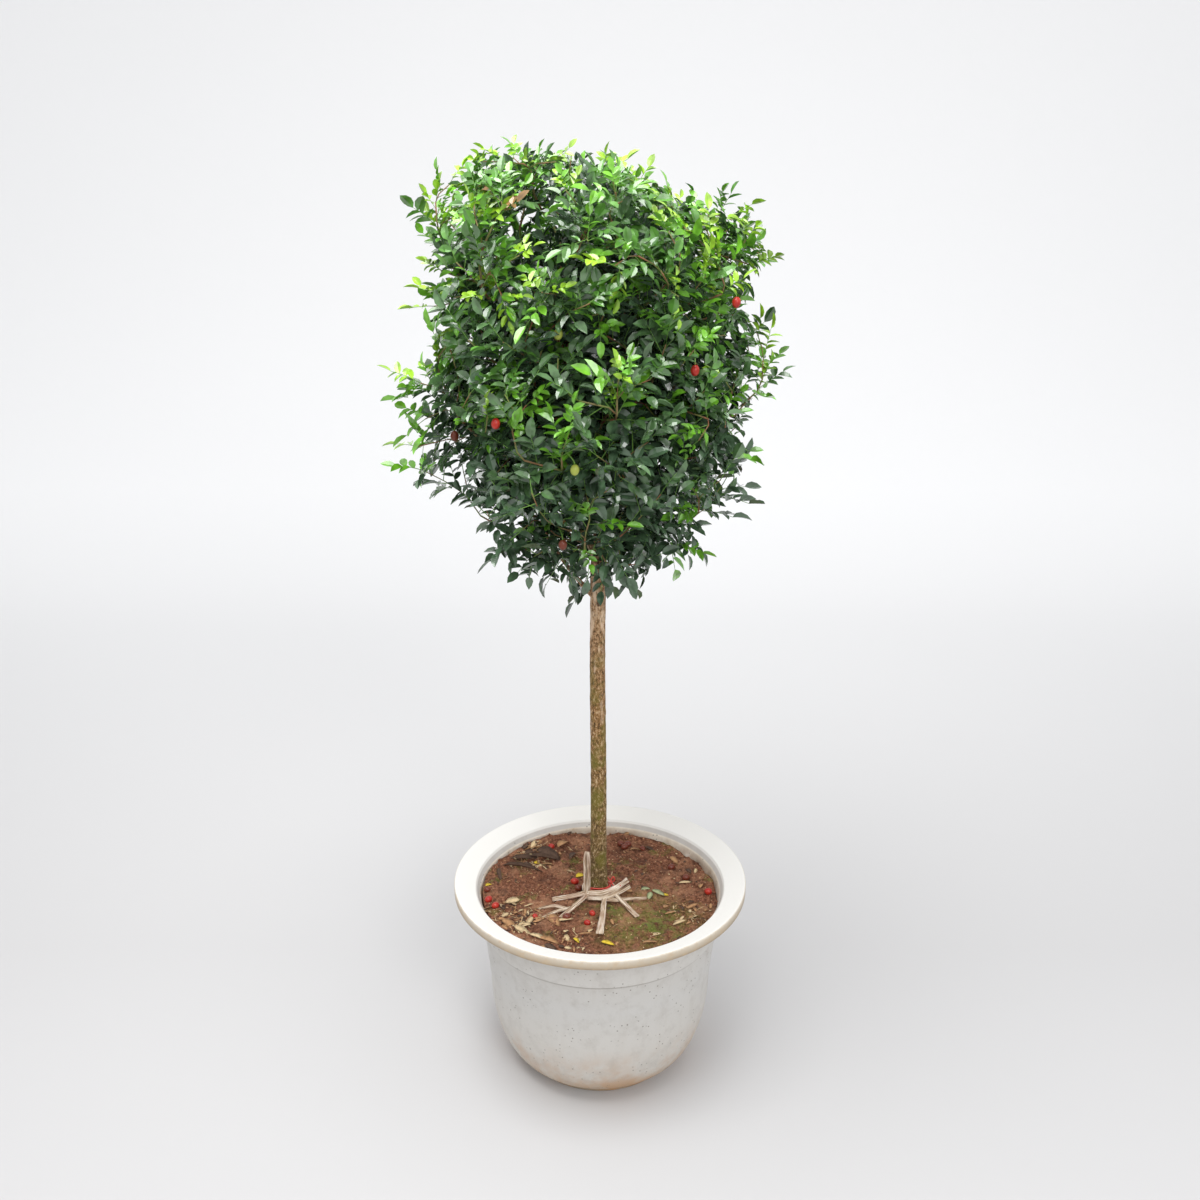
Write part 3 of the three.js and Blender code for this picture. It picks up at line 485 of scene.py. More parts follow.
# kind; x, y; heading in degrees; length, width; how far the blade is folded
DEAD_LEAVES = [
    ("tan", -176, -106, 320, 44, 15, 0.3),
    ("straw", -152, -128, 325, 42, 13, 0.5),
    ("straw", -124, -148, 335, 40, 12, 0.2),
    ("tan", -106, -160, 345, 38, 12, 0.5),
    ("straw", -148, -40, 200, 28, 15, 0.2),
    ("tan", -92, -84, 300, 34, 18, 0.3),
    ("straw", -76, -102, 20, 30, 16, 0.1),
    ("tan", -112, -106, 80, 26, 14, 0.3),
    ("straw", -196, -84, 150, 26, 12, 0.4),
    ("umber", -188, 78, 348, 78, 9, 1.6),
    ("umber", -176, 100, 8, 74, 11, 1.3),
    ("umber", -140, 112, 350, 64, 10, 1.5),
    ("umber", -126, 134, 335, 52, 24, 0.5),
    ("tan", -150, 138, 20, 44, 18, 0.8),
    ("umber", -150, 124, 30, 46, 16, 0.4),
    ("tan", -84, 148, 60, 38, 18, 0.4),
    ("tan", -112, 92, 10, 32, 16, 0.2),
    ("umber", -60, 106, 70, 40, 12, 0.6),
    ("straw", -66, 70, 340, 26, 10, 0.3),
    ("tan", -170, 116, 30, 30, 12, 0.5),
    ("umber", -196, 60, 280, 34, 9, 0.6),
    ("faded", 94, 12, 165, 30, 13, 0.15),
    ("faded", 98, 8, 325, 28, 12, 0.15),
    ("faded", 96, 2, 255, 22, 11, 0.1),
    ("yellow", 116, 0, 10, 15, 9, 0.3),
    ("yellow", -214, 0, 40, 15, 10, 0.4),
    ("yellow", -46, 44, 30, 19, 12, 0.5),
    ("yellow", -46, -156, 320, 14, 10, 0.3),
    ("yellow", 2, -160, 345, 24, 9, 0.3),
    ("yellow", -130, 98, 10, 14, 9, 0.3),
    ("straw", 130, -108, 30, 30, 7, 0.3),
    ("tan", 160, -86, 60, 24, 8, 0.3),
    ("tan", 176, -58, 100, 26, 9, 0.4),
    ("straw", 150, 40, 10, 28, 6, 0.3),
    ("tan", 46, 4, 350, 17, 8, 0.1),
    ("tan", 118, -44, 60, 14, 12, 0.2),
    ("tan", 60, 150, 20, 26, 12, 0.5),
    ("umber", 90, 166, 330, 30, 10, 0.4),
    ("tan", 140, 128, 300, 24, 12, 0.3),
    ("straw", -20, -128, 70, 18, 10, 0.2),
    ("tan", 190, 20, 80, 20, 10, 0.3),
    ("umber", 176, 70, 110, 26, 9, 0.4),
    ("straw", 108, -128, 200, 26, 8, 0.3),
    ("tan", 74, -160, 10, 30, 9, 0.4),
]
# x, y and colour of fallen fruits
FALLEN_FRUITS = [
    (-14, -76, "ripe"),
    (-23, -104, "ripe"),
    (-117, -90, "ripe"),
    (-204, -50, "ripe"),
    (-190, -66, "ripe"),
    (-48, 28, "ripe"),
    (-40, 8, "dry"),
    (203, 0, "ripe"),
    (42, 182, "dry"),
    (56, 176, "dry"),
    (50, 166, "dry"),
    (86, 160, "dry"),
    (-98, 158, "ripe"),
    (140, 96, "dry"),
    (-210, -14, "dry"),
    (-60, -92, "dry"),
    (166, 60, "dry"),
]
LOOSE_BITS = 800
# x, y and radius of the drifts that lie together against the lip, and each one's share of the bits
DRIFTS = [(-160, -92, 52, 0.30), (-128, 116, 44, 0.16), (170, -60, 40, 0.10), (-60, -166, 40, 0.08)]


def unit(v):
    """A vector of length 1 that points the same way."""
    return v / max(np.linalg.norm(v), 1e-9)


class Seeded:
    """A repeatable random number source, 0 up to 1."""

    def __init__(self, seed):
        self.state = seed

    def __call__(self):
        self.state = (self.state * 1664525 + 1013904223) % 4294967296
        return self.state / 4294967296


def blade(fold, droop, half_widths=(0.05, 0.37, 0.50, 0.36, 0.0), stations=(0.0, 0.17, 0.45, 0.76, 1.0)):
    """A closed leaf blade as (along, side, up) in shares of length, width and length, and its faces.

    The fold raises both halves from the midrib, and the droop bends the tip down.
    """
    corners, rows = [], []
    for t, half in zip(stations, half_widths):
        sag = -droop * t * t
        if half == 0.0:
            rows.append([len(corners)] * 4)
            corners.append((t, 0.0, sag))
            continue
        rows.append([len(corners) + k for k in range(4)])
        rise = sag + fold * half
        corners += [(t, -half, rise), (t, 0.0, sag + 0.006), (t, half, rise), (t, 0.0, sag - 0.008)]
    faces = []
    for low, high in zip(rows, rows[1:]):
        for a, b in ((0, 1), (1, 2), (2, 3), (3, 0)):
            corner = [low[a], low[b], high[b], high[a]]
            faces.append(tuple(c for i, c in enumerate(corner) if c != corner[i - 1]))
    faces.append((rows[0][3], rows[0][2], rows[0][1], rows[0][0]))
    return np.array(corners), faces


def joined(parts):
    """Several (points in millimetres, faces) joined into one list of each, the points in metres."""
    points, faces, start = [], [], 0
    for some_points, some_faces in parts:
        points.append(np.asarray(some_points) * MM)
        faces += [tuple(v + start for v in face) for face in some_faces]
        start += len(some_points)
    return np.vstack(points), faces


def placed_blade(foot, along, up, length, width, fold, droop):
    """One blade in millimetres, its foot at a point, pointing along and facing up."""
    corners, faces = blade(fold * width / length, droop)
    up = unit(up - along * up.dot(along))
    side = np.cross(up, along)
    local = corners * np.array((length, width, length))
    return foot + local[:, 0:1] * along + local[:, 1:2] * side + local[:, 2:3] * up, faces


def ellipsoid(centre, along, radius, length, rings=7, sides=10):
    """A closed egg-like solid round an axis, in millimetres."""
    across = unit(np.cross(along, (0.31, 0.87, 0.38)))
    third = np.cross(along, across)
    points = [centre - along * length / 2]
    for i in range(1, rings):
        a = math.pi * i / rings
        ring_centre = centre - along * math.cos(a) * length / 2
        for k in range(sides):
            b = 2 * math.pi * k / sides
            points.append(ring_centre + math.sin(a) * radius * (across * math.cos(b) + third * math.sin(b)))
    points.append(centre + along * length / 2)
    last = len(points) - 1
    faces = [(0, 1 + (k + 1) % sides, 1 + k) for k in range(sides)]
    for i in range(rings - 2):
        for k in range(sides):
            a, b = 1 + i * sides + k, 1 + i * sides + (k + 1) % sides
            faces.append((a, b, b + sides, a + sides))
    faces += [(last, last - sides + k, last - sides + (k + 1) % sides) for k in range(sides)]
    return np.array(points), faces


def on_soil(x, y, above):
    """A point over the soil, in millimetres."""
    return np.array((x, y, soil_height(x * MM, y * MM) / MM + above))


random = Seeded(7451)
litter = {kind: [] for kind in LITTER_COLOURS}
for kind, x, y, heading, length, width, fold in DEAD_LEAVES:
    a = math.radians(heading)
    along = unit(np.array((math.cos(a), math.sin(a), 0.06 + 0.16 * random())))
    up = np.array((random() - 0.5, random() - 0.5, 1.4))
    droop = 0.25 + 0.2 * random()
    litter[kind].append(placed_blade(on_soil(x, y, 2.5), along, up, length, width, fold, droop))
while sum(len(rows) for rows in litter.values()) < LOOSE_BITS:
    a, r, pick = 2 * math.pi * random(), LITTER_RADIUS * math.sqrt(random()), random()
    spot = np.array((r * math.cos(a), r * math.sin(a)))
    for x, y, spread, share in DRIFTS:
        if 0 <= pick < share:
            spot = np.array((x, y)) + spot * spread / LITTER_RADIUS
        pick -= share
    if not STEM_ROOM < np.linalg.norm(spot) < LITTER_RADIUS - 1:
        continue
    drifted = pick < 0
    kind = ("straw", "tan", "tan", "straw" if drifted else "umber", "umber")[int(random() * 5)]
    thin = random() < 0.45
    b = 2 * math.pi * random()
    along = unit(np.array((math.cos(b), math.sin(b), 0.15 * (random() - 0.3))))
    up = np.array((random() - 0.5, random() - 0.5, 1.0))
    length = 5 + (22 if thin or drifted else 11) * random() ** 2
    width = 1.3 if thin else 1.8 + 0.5 * length * random()
    foot = on_soil(spot[0], spot[1], 2.0 if drifted else 1.2)
    litter[kind].append(placed_blade(foot, along, up, length, width, 0.3 * random(), 0.3 * random()))

# Dead leaf: papery and dull, darker in mottles 6 mm apart.
for kind, colour in LITTER_COLOURS.items():
    finish, tree, shader = new_finish(kind + " dead leaf", colour, 0.8, 1.4)
    place = add(tree, "ShaderNodeTexCoord").outputs["Object"]
    dusk = add(tree, "ShaderNodeHueSaturation", {"Value": 0.62, "Color": linear(colour)})
    settings = {"Scale": 160.0, "Detail": 5.0, "Roughness": 0.6}
    rot = add(tree, "ShaderNodeTexNoise", settings, {"Vector": place})
    settings = {"data_type": "RGBA", 6: linear(colour)}
    mottled = add(tree, "ShaderNodeMix", settings, {0: mask(tree, (rot, 0.48, 0.66, 1.0)), 7: dusk})
    tree.links.new(mottled.outputs[2], shader.inputs["Base Color"])
    points, faces = joined(litter[kind])
    dropped = new_piece("dead_leaves_" + kind, points, faces, finish)
    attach(dropped, "root")

# Jasmine fruit: a waxy, rather glossy skin, scarlet with a lighter blush when ripe and brown as it dries.
fruit_finishes = {}
for ripeness, colour, blush in (
    ("ripe", "#A3221B", "#BE3A2A"),
    ("dry", "#6E3322", "#6E3322"),
    ("unripe", "#A3AD4B", "#A3AD4B"),
):
    finish, tree, shader = new_finish(ripeness + " jasmine fruit", colour, 0.28, 1.45)
    place = add(tree, "ShaderNodeTexCoord").outputs["Object"]
    cast = add(tree, "ShaderNodeTexNoise", {"Scale": 120.0, "Detail": 2.0}, {"Vector": place})
    skin = add(tree, "ShaderNodeValToRGB", {"stops": [(0.40, colour), (0.70, blush)]}, {0: cast})
    tree.links.new(skin.outputs[0], shader.inputs["Base Color"])
    fruit_finishes[ripeness] = finish
fallen = {"ripe": [], "dry": []}
for x, y, ripeness in FALLEN_FRUITS:
    a = 2 * math.pi * random()
    along = unit(np.array((math.cos(a), math.sin(a), 0.2)))
    size = 0.82 + 0.25 * random()
    centre = on_soil(x, y, 0.62 * FRUIT_RADIUS * size)
    fallen[ripeness].append(ellipsoid(centre, along, FRUIT_RADIUS * size, FRUIT_LENGTH * size * 0.95))
for ripeness, rows in fallen.items():
    points, faces = joined(rows)
    dropped = new_piece("fallen_fruit_" + ripeness, points, faces, fruit_finishes[ripeness])
    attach(dropped, "root")

# ---------------------------------------------------------------- ties
# Strips of weathered fibre that held the root ball when the plant was lifted. They are wound round the
# stem's foot and knotted in front of it, one loop stands up, and their cut ends lie on the soil.
STRAP_THICKNESS = 2.2
STRAP_RINGS, STRAP_RIBS = 30, 9
TIE_LEVEL = 331.0
# points as x, y and height over the tie level; width at both ends; which way the face looks
STRAPS = [
    ([(-22, -22, 11), (-50, -30, 8), (-88, -34, 3)], 10, 8, (0, -0.6, 1)),
    ([(-22, -26, 9), (-44, -56, 6), (-73, -96, 2)], 9, 11, (0, 0, 1)),
    ([(8, -34, 8), (5, -86, 5), (-1, -140, 2)], 8, 14, (0, 0, 1)),
    ([(24, -22, 12), (44, -52, 7), (67, -88, 2)], 8, 10, (0, 0, 1)),
    ([(-20, -31, 6), (24, -40, 6), (54, -36, 5), (86, -28, 2)], 10, 5, (0, -0.7, 1)),
    ([(-26, -27, 12), (2, -34, 16), (28, -24, 20), (52, 6, 20)], 11, 9, (0, -1, 0.6)),
    ([(-25, -31, 6), (6, -38, 9), (34, -26, 13), (56, -2, 11)], 10, 8, (0, -1, 0.6)),
    ([(-58, -66, 3), (-84, -58, 5), (-114, -64, 2)], 8, 5, (0, -0.4, 1)),
    ([(-48, -60, 3), (-80, -74, 4), (-104, -92, 2)], 7, 6, (0, -0.4, 1)),
    (
        [
            (-22, -25, 6), (-21, -23, 40), (-21, -21, 84), (-24, -20, 95),
            (-27, -21, 86), (-27, -23, 44), (-25, -26, 8),
        ],
        8, 8, (0.7, -1, 0),
    ),
]


def spaced(points, count):
    """Points evenly spaced along a smooth curve through the given ones."""
    points = np.array(points, float)
    padded = np.vstack([2 * points[0] - points[1], points, 2 * points[-1] - points[-2]])
    dense = []
    for a, b, c, d in zip(padded, padded[1:], padded[2:], padded[3:]):
        for t in np.linspace(0, 1, 24, endpoint=False):
            square, cube = 2 * a - 5 * b + 4 * c - d, 3 * b - a - 3 * c + d
            dense.append(0.5 * (2 * b + (c - a) * t + square * t ** 2 + cube * t ** 3))
    dense.append(points[-1])
    dense = np.array(dense)
    run = np.concatenate([[0], np.cumsum(np.linalg.norm(np.diff(dense, axis=0), axis=1))])
    at = np.linspace(0, run[-1], count)
    return np.stack([np.interp(at, run, dense[:, k]) for k in range(3)], axis=1)


def lofted(rings):
    """A closed skin over rings of the same number of points."""
    sides, count = len(rings[0]), len(rings)
    faces = [
        (i * sides + k, i * sides + (k + 1) % sides, (i + 1) * sides + (k + 1) % sides, (i + 1) * sides + k)
        for i in range(count - 1)
        for k in range(sides)
    ]
    faces.append(tuple(reversed(range(sides))))
    faces.append(tuple(range((count - 1) * sides, count * sides)))
    return np.vstack(rings), faces


def tangents_of(line):
    """Unit direction of a line at each of its points."""
    ahead = np.gradient(line, axis=0)
    return ahead / np.maximum(np.linalg.norm(ahead, axis=1), 1e-9)[:, None]


def run_of(line):
    """How far each point of a line lies along it."""
    return np.concatenate([[0], np.cumsum(np.linalg.norm(np.diff(line, axis=0), axis=1))])


def strap(points, first_width, last_width, facing, seed):
    """A flat fibrous strip along a line, ribbed lengthwise, and each point's place across and along it."""
    line = spaced(points, STRAP_RINGS)
    rings, weave = [], []
    for i, (p, ahead, run) in enumerate(zip(line, tangents_of(line), run_of(line))):
        side = unit(np.cross(ahead, facing))
        up = np.cross(side, ahead)
        width = first_width + (last_width - first_width) * i / (STRAP_RINGS - 1)
        ring = []
        for k in range(STRAP_RIBS):
            s = k / (STRAP_RIBS - 1) - 0.5
            ragged = 1 + 0.16 * noise.noise(Vector((seed, i * 0.5, s * 3)))
            raised = 0.35 + 0.45 * noise.noise(Vector((s * 9, i * 0.10, seed))) - 0.7 * s * s
            ring.append(p + side * s * width * ragged + up * STRAP_THICKNESS * raised)
            weave.append((s * width, run, seed * 20))
        for s in (0.42, -0.42):
            ring.append(p + side * s * width - up * STRAP_THICKNESS * 0.5)
            weave.append((s * width, run, seed * 20))
        rings.append(np.array(ring))
    return lofted(rings), np.array(weave) * MM


strap_parts, strap_weave = [], []
for number, (points, first_width, last_width, facing) in enumerate(STRAPS):
    raised = [(x, y, TIE_LEVEL + up) for x, y, up in points]
    part, weave = strap(raised, first_width, last_width, np.array(facing, float), number * 3.7)
    strap_parts.append(part)
    strap_weave.append(weave)
for turn in range(3):
    loop = []
    for k in range(15):
        a = 2 * math.pi * (k / 14) + 0.9 * turn
        r = 25.5 + 1.5 * turn + 1.2 * math.sin(3 * a + turn)
        up = 3 + 2.4 * turn + 1.5 * math.sin(2 * a + turn)
        loop.append((STEM_X / MM + r * math.cos(a), r * math.sin(a), TIE_LEVEL + up))
    part, weave = strap(loop, 6, 6, np.array((0, 0, 1.0)), 60 + turn)
    strap_parts.append(part)
    strap_weave.append(weave)
knot_middle, knot_axis = np.array((-23.0, -27.0, TIE_LEVEL + 9)), unit(np.array((1.0, 0.2, 0.4)))
knot_points, knot_faces = ellipsoid(knot_middle, knot_axis, 6.0, 15.0)
strap_parts.append((knot_points, knot_faces))
strap_weave.append(knot_points * MM)

# Weathered fibre: dry and matt, pale on its ribs and grey-brown between them. The ribs run along each
# strip, 1.6 mm apart, coarser than the real fibres so that they show.
strap_finish, tree, shader = new_finish("weathered fibre strip", "#B09A82", 0.9, 1.4)
place = add(tree, "ShaderNodeTexCoord").outputs["Object"]
woven = add(tree, "ShaderNodeAttribute", {"attribute_name": "across_and_along"}).outputs["Vector"]
lengthwise = add(tree, "ShaderNodeMapping", {"Scale": (1.0, 0.05, 1.0)}, {"Vector": woven})
settings = {"Scale": 620.0, "Detail": 3.0, "Roughness": 0.6}
ribs = add(tree, "ShaderNodeTexNoise", settings, {"Vector": lengthwise})
fibre_colours = [(0.30, "#4E3A2D"), (0.42, "#94795F"), (0.52, "#C9B49B"), (0.66, "#F0E6D8")]
fibre = add(tree, "ShaderNodeValToRGB", {"stops": fibre_colours}, {0: ribs})
soiled = add(tree, "ShaderNodeTexNoise", {"Scale": 40.0, "Detail": 3.0}, {"Vector": place})
fibre = stained(tree, fibre, "#9C7A68", (soiled, 0.48, 0.66, 0.45))
tree.links.new(fibre, shader.inputs["Base Color"])
rib_bump = add(tree, "ShaderNodeBump", {"Strength": 0.8, "Distance": 0.0010}, {"Height": ribs})
tree.links.new(rib_bump.outputs[0], shader.inputs["Normal"])

tie_points, tie_faces = joined(strap_parts)
ties = new_piece("fibre_ties", tie_points, tie_faces, strap_finish)
across_and_along = ties.data.attributes.new("across_and_along", "FLOAT_VECTOR", "POINT")
across_and_along.data.foreach_set("vector", np.vstack(strap_weave).ravel())
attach(ties, "root")
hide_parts("root_ball_ties")

# ---------------------------------------------------------------- twine
# Thin red plastic twine, smooth and a little shiny, wound round the stem just above the strips. Its
# two ends are knotted on the right.
TWINE_RADIUS = 1.3
TWINE_BOW = [
    (20, -6, 19),
    (27, -9, 28),
    (25, -12, 37),
    (21, -11, 30),
    (24, -13, 20),
    (33, -14, 16),
    (38, -16, 21),
]
twine_coil = []
for k in range(46):
    a = math.radians(160 + 24 * k)
    r = 21.8 + 1.4 * math.sin(1.7 * a)
    up = 9 + 0.20 * k + 1.2 * math.sin(2.3 * a)
    twine_coil.append((STEM_X / MM + r * math.cos(a), r * math.sin(a), TIE_LEVEL + up))
twine_bow = [(x, y, TIE_LEVEL + up) for x, y, up in TWINE_BOW]


def tube(line, radii, sides):
    """A thin closed tube along a line, in millimetres."""
    side = unit(np.cross(line[1] - line[0], (0.31, 0.22, 0.92)))
    turns = 2 * math.pi * np.arange(sides) / sides
    rings = []
    for p, girth, ahead in zip(line, radii, tangents_of(line)):
        side = unit(side - ahead * side.dot(ahead))
        across = np.cross(ahead, side)
        rings.append(p + girth * (np.cos(turns)[:, None] * side + np.sin(turns)[:, None] * across))
    return lofted(rings)


twine_finish, _, _ = new_finish("red plastic twine", "#CF4A3F", 0.45, 1.5)
twine_runs = ((twine_coil, 200), (twine_bow, 60))
twine_points, twine_faces = joined([tube(spaced(line, n), [TWINE_RADIUS] * n, 6) for line, n in twine_runs])
twine = new_piece("red_twine", twine_points, twine_faces, twine_finish)
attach(twine, "root")

# ---------------------------------------------------------------- stem, leader and boughs
# One clear woody stem, flared at the soil, that forks into a leader and boughs inside the head. The
# bark is thin and pimpled, olive and brown low down, and paler and pinker towards the head.
STEM_TOP = 985.0
FOOT_STEM, STEM_RADIUS, NECK_RADIUS, CRUTCH_RADIUS = 22.0, 14.5, 13.2, 14.6
HEAD_X, HEAD_BOTTOM, HEAD_WIDEST, HEAD_TOP, HEAD_PEAK = -12.0, 915.0, 1300.0, 1618.0, 1646.0
HEAD_RADIUS, HEAD_SLOPE = 272.0, 0.13
CUT_SHOOT = (-0.002, -0.0135, 0.900)
LEADER_BENDS = [
    (-3, 0, STEM_TOP + 0.3),
    (7, -2, 1045),
    (-3, -6, 1163),
    (-25, -14, 1250),
    (-62, -30, 1330),
    (-84, -50, 1385),
]
# name: azimuth, radius and height of the middle of the foliage it carries; the limb it leaves, at what
# height and how steeply; its radius there
BOUGHS = {
    "low_left": (184, 132, 1082, "trunk", 903, 44, 4.8),
    "low_front": (268, 112, 1062, "trunk", 936, 40, 4.6),
    "low_right": (356, 122, 1066, "leader", 1012, 12, 5.0),
    "low_back": (92, 122, 1078, "trunk", 948, 42, 5.2),
    "middle_left": (200, 168, 1262, "trunk", 972, 66, 7.4),
    "middle_front": (272, 160, 1268, "leader", 1052, 50, 5.8),
    "middle_right": (344, 166, 1276, "leader", 1084, 46, 6.2),
    "middle_back_right": (56, 162, 1284, "leader", 1066, 52, 6.0),
    "middle_back_left": (128, 162, 1272, "leader", 1030, 55, 6.2),
    "upper_right": (318, 134, 1466, "leader", 1190, 58, 5.6),
    "upper_back_right": (48, 132, 1472, "leader", 1170, 62, 5.6),
    "upper_back_left": (138, 136, 1502, "leader", 1238, 60, 5.2),
}
# how far a bough ends inside its mass's space; its radius at the tip and more of it where it leaves its limb
BOUGH_INSET, BOUGH_TIP_SHARE, BOUGH_COLLAR = 12, 0.62, 0.22
# azimuth, radius and height of the mass that the leader carries
UPPER_LEFT = (226, 134, 1504)


def centre_of(azimuth, radius, height):
    """Centre of a foliage mass, in millimetres."""
    a = math.radians(azimuth)
    return np.array((HEAD_X + radius * math.cos(a), radius * math.sin(a), height))


centres = {name: centre_of(*row[:3]) for name, row in BOUGHS.items()}
centres["upper_left"] = centre_of(*UPPER_LEFT)


def inside_space(points, name):
    """How far points lie inside a mass's space, whose walls are halfway to the middle of each neighbour."""
    points = np.atleast_2d(points)
    own = ((points - centres[name]) ** 2).sum(axis=1)
    least = np.full(len(points), np.inf)
    for other, centre in centres.items():
        if other != name:
            apart = np.linalg.norm(centre - centres[name])
            least = np.minimum(least, (((points - centre) ** 2).sum(axis=1) - own) / (2 * apart))
    return least


limbs = {}
stem_foot = SOIL_LEVEL / MM + 0.3
stem_heights = np.concatenate([[stem_foot - 4], np.linspace(stem_foot + 2, STEM_TOP, 150)])
stem_share = (stem_heights - stem_foot) / (STEM_TOP - stem_foot)
stem_x = STEM_X / MM + 2 * np.sin(stem_share * 7) * stem_share
stem_line = np.stack([stem_x, 1.5 * np.sin(stem_share * 5), stem_heights], axis=1)
# height over the soil, and the stem's radius there: flared at the soil, a little stouter at the fork
stem_height = STEM_TOP - stem_foot
STEM_GIRTHS = [
    (-4, 24),
    (0, FOOT_STEM),
    (8, 18.9),
    (24, 17),
    (60, 15.1),
    (140, STEM_RADIUS),
    (300, 14),
    (450, 13.4),
    (560, NECK_RADIUS),
    (stem_height - 60, 13.7),
    (stem_height - 30, CRUTCH_RADIUS),
    (stem_height, CRUTCH_RADIUS * 0.86),
]
limbs["trunk"] = (stem_line, np.interp(stem_heights - stem_foot, *zip(*STEM_GIRTHS)))
leader_line = spaced(LEADER_BENDS, 78)
limbs["leader"] = (leader_line, np.linspace(9.5, 4.6, len(leader_line)))


def bough_line(name):
    """Axis and radii of a bough, from the limb it leaves to a little way inside its mass's space."""
    _, _, _, parent, start_height, rise, size = BOUGHS[name]
    line, radii = limbs[parent]
    start = np.array([np.interp(start_height, line[:, 2], line[:, k]) for k in range(3)])
    girth = np.interp(start_height, line[:, 2], radii)
    reach = 0.5
    while inside_space(start + reach * (centres[name] - start), name)[0] < BOUGH_INSET:
        reach += 0.02
    end = start + reach * (centres[name] - start)
    level = unit(np.array((end[0] - start[0], end[1] - start[1], 0.0)))
    rise = math.radians(rise)
    first = level * math.cos(rise) + np.array((0, 0, math.sin(rise)))
    bend = start + first * 0.48 * np.linalg.norm(end - start)
    begin = start + first * girth * 0.35
    t = np.linspace(0, 1, 40)
    radii = size * (1 + (BOUGH_TIP_SHARE - 1) * t + BOUGH_COLLAR * np.exp(-9 * t))
    return bent(begin, bend, end, t[:, None]), radii


for bough in BOUGHS:
    limbs[bough] = bough_line(bough)


def bark_skin(line, radii, sides, relief, seed, flared):
    """A closed limb: its skin is raised in uneven lengthwise ridges, low rings and small knots."""
    rings = []
    side = np.array((1.0, 0, 0)) if abs(unit(line[1] - line[0])[0]) < 0.9 else np.array((0, 1.0, 0))
    for p, girth, ahead, run in zip(line, radii, tangents_of(line), run_of(line)):
        side = unit(side - ahead * side.dot(ahead))
        across = np.cross(ahead, side)
        ringed = 0.10 * math.sin(run * 0.21 + 3 * noise.noise(Vector((run * 0.03, seed, 0))))
        ring = []
        for k in range(sides):
            a = 2 * math.pi * k / sides
            way = side * math.cos(a) + across * math.sin(a)
            ridge = noise.fractal(Vector((way[0] * 3.2, way[1] * 3.2, run * 0.045 + seed)), 1.0, 2.2, 4)
            knot = max(0.0, noise.noise(Vector((way[0] * 1.6, way[1] * 1.6, run * 0.045 + seed + 40))) - 0.40)
            foot = max(0.0, 1 - run / 45) * 0.10 * math.cos(4 * a + 0.6) * girth if flared else 0.0
            ring.append(p + way * (girth + relief * (ridge + 3.2 * knot + ringed) + foot))
        rings.append(np.array(ring))
    return lofted(rings)


# Thin jasmine bark: matt and speckled, with pale scars, and a green cast of algae on the lower stem.
bark_finish, tree, shader = new_finish("jasmine bark", "#8A7350", 0.88, 1.45)
place = add(tree, "ShaderNodeTexCoord").outputs["Object"]
height = add(tree, "ShaderNodeSeparateXYZ", links={0: place}).outputs["Z"]
# From the soil up to the leader: olive, then brown and pinkish, then red-brown in the head.
bark_colours = [
    (0.00, "#6F5B38"),
    (0.20, "#88693D"),
    (0.38, "#966E42"),
    (0.52, "#A47E59"),
    (0.64, "#A9805F"),
    (0.72, "#8C5A3E"),
    (1.00, "#84492F"),
]
bark = add(tree, "ShaderNodeValToRGB", {"stops": bark_colours}, {0: mask(tree, (height, 0.33, 1.33, 1.0))})
# Pimples 4 mm apart, drawn larger than life so that they show, dark between and pale on top.
squat = add(tree, "ShaderNodeMapping", {"Scale": (1.0, 1.0, 0.6)}, {"Vector": place})
settings = {"Scale": 230.0, "Detail": 5.0, "Roughness": 0.8}
speckle = add(tree, "ShaderNodeTexNoise", settings, {"Vector": squat})
bark = stained(tree, bark, "#3A2B18", (speckle, 0.50, 0.42, 0.85))
bark = stained(tree, bark, "#DFC7A1", (speckle, 0.54, 0.62, 0.75))
# Pale lengthwise scars, where the bark has rubbed or split.
upright = add(tree, "ShaderNodeMapping", {"Scale": (1.0, 1.0, 0.25)}, {"Vector": place})
scars = add(tree, "ShaderNodeTexNoise", {"Scale": 70.0, "Detail": 5.0, "Roughness": 0.6}, {"Vector": upright})
bark = stained(tree, bark, "#DFC3A6", (scars, 0.53, 0.61, 0.9), (height, 0.6, 0.85, 1.0))
# One dark scar, 6 by 10 mm, where a low shoot was cut off, on the front just under the head.
off = add(tree, "ShaderNodeVectorMath", {"operation": "SUBTRACT", 1: CUT_SHOOT}, {0: place})
oval = add(tree, "ShaderNodeVectorMath", {"operation": "MULTIPLY", 1: (1.0, 0.5, 0.55)}, {0: off})
off_cut = add(tree, "ShaderNodeVectorMath", {"operation": "LENGTH"}, {0: oval}).outputs["Value"]
bark = stained(tree, bark, "#35261A", (off_cut, 0.0034, 0.0018, 0.85))
algae = add(tree, "ShaderNodeTexNoise", {"Scale": 30.0, "Detail": 5.0}, {"Vector": place})
bark = stained(tree, bark, "#6E6A24", (algae, 0.45, 0.60, 0.6), (height, 0.92, 0.66, 1.0))
tree.links.new(bark, shader.inputs["Base Color"])
bark_bump = add(tree, "ShaderNodeBump", {"Strength": 0.8, "Distance": 0.0012}, {"Height": speckle})
tree.links.new(bark_bump.outputs[0], shader.inputs["Normal"])

for number, (name, (line, radii)) in enumerate(limbs.items()):
    thick = name == "trunk"
    sides, relief = (48, 0.8) if thick else (16, 0.35)
    skin_points, skin_faces = bark_skin(line, radii, sides, relief, number * 7.3, thick)
    limb = new_piece(name + "_bark", skin_points * MM, skin_faces, bark_finish)
    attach(limb, "root")
    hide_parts(name if name in ("trunk", "leader") else "bough_" + name)

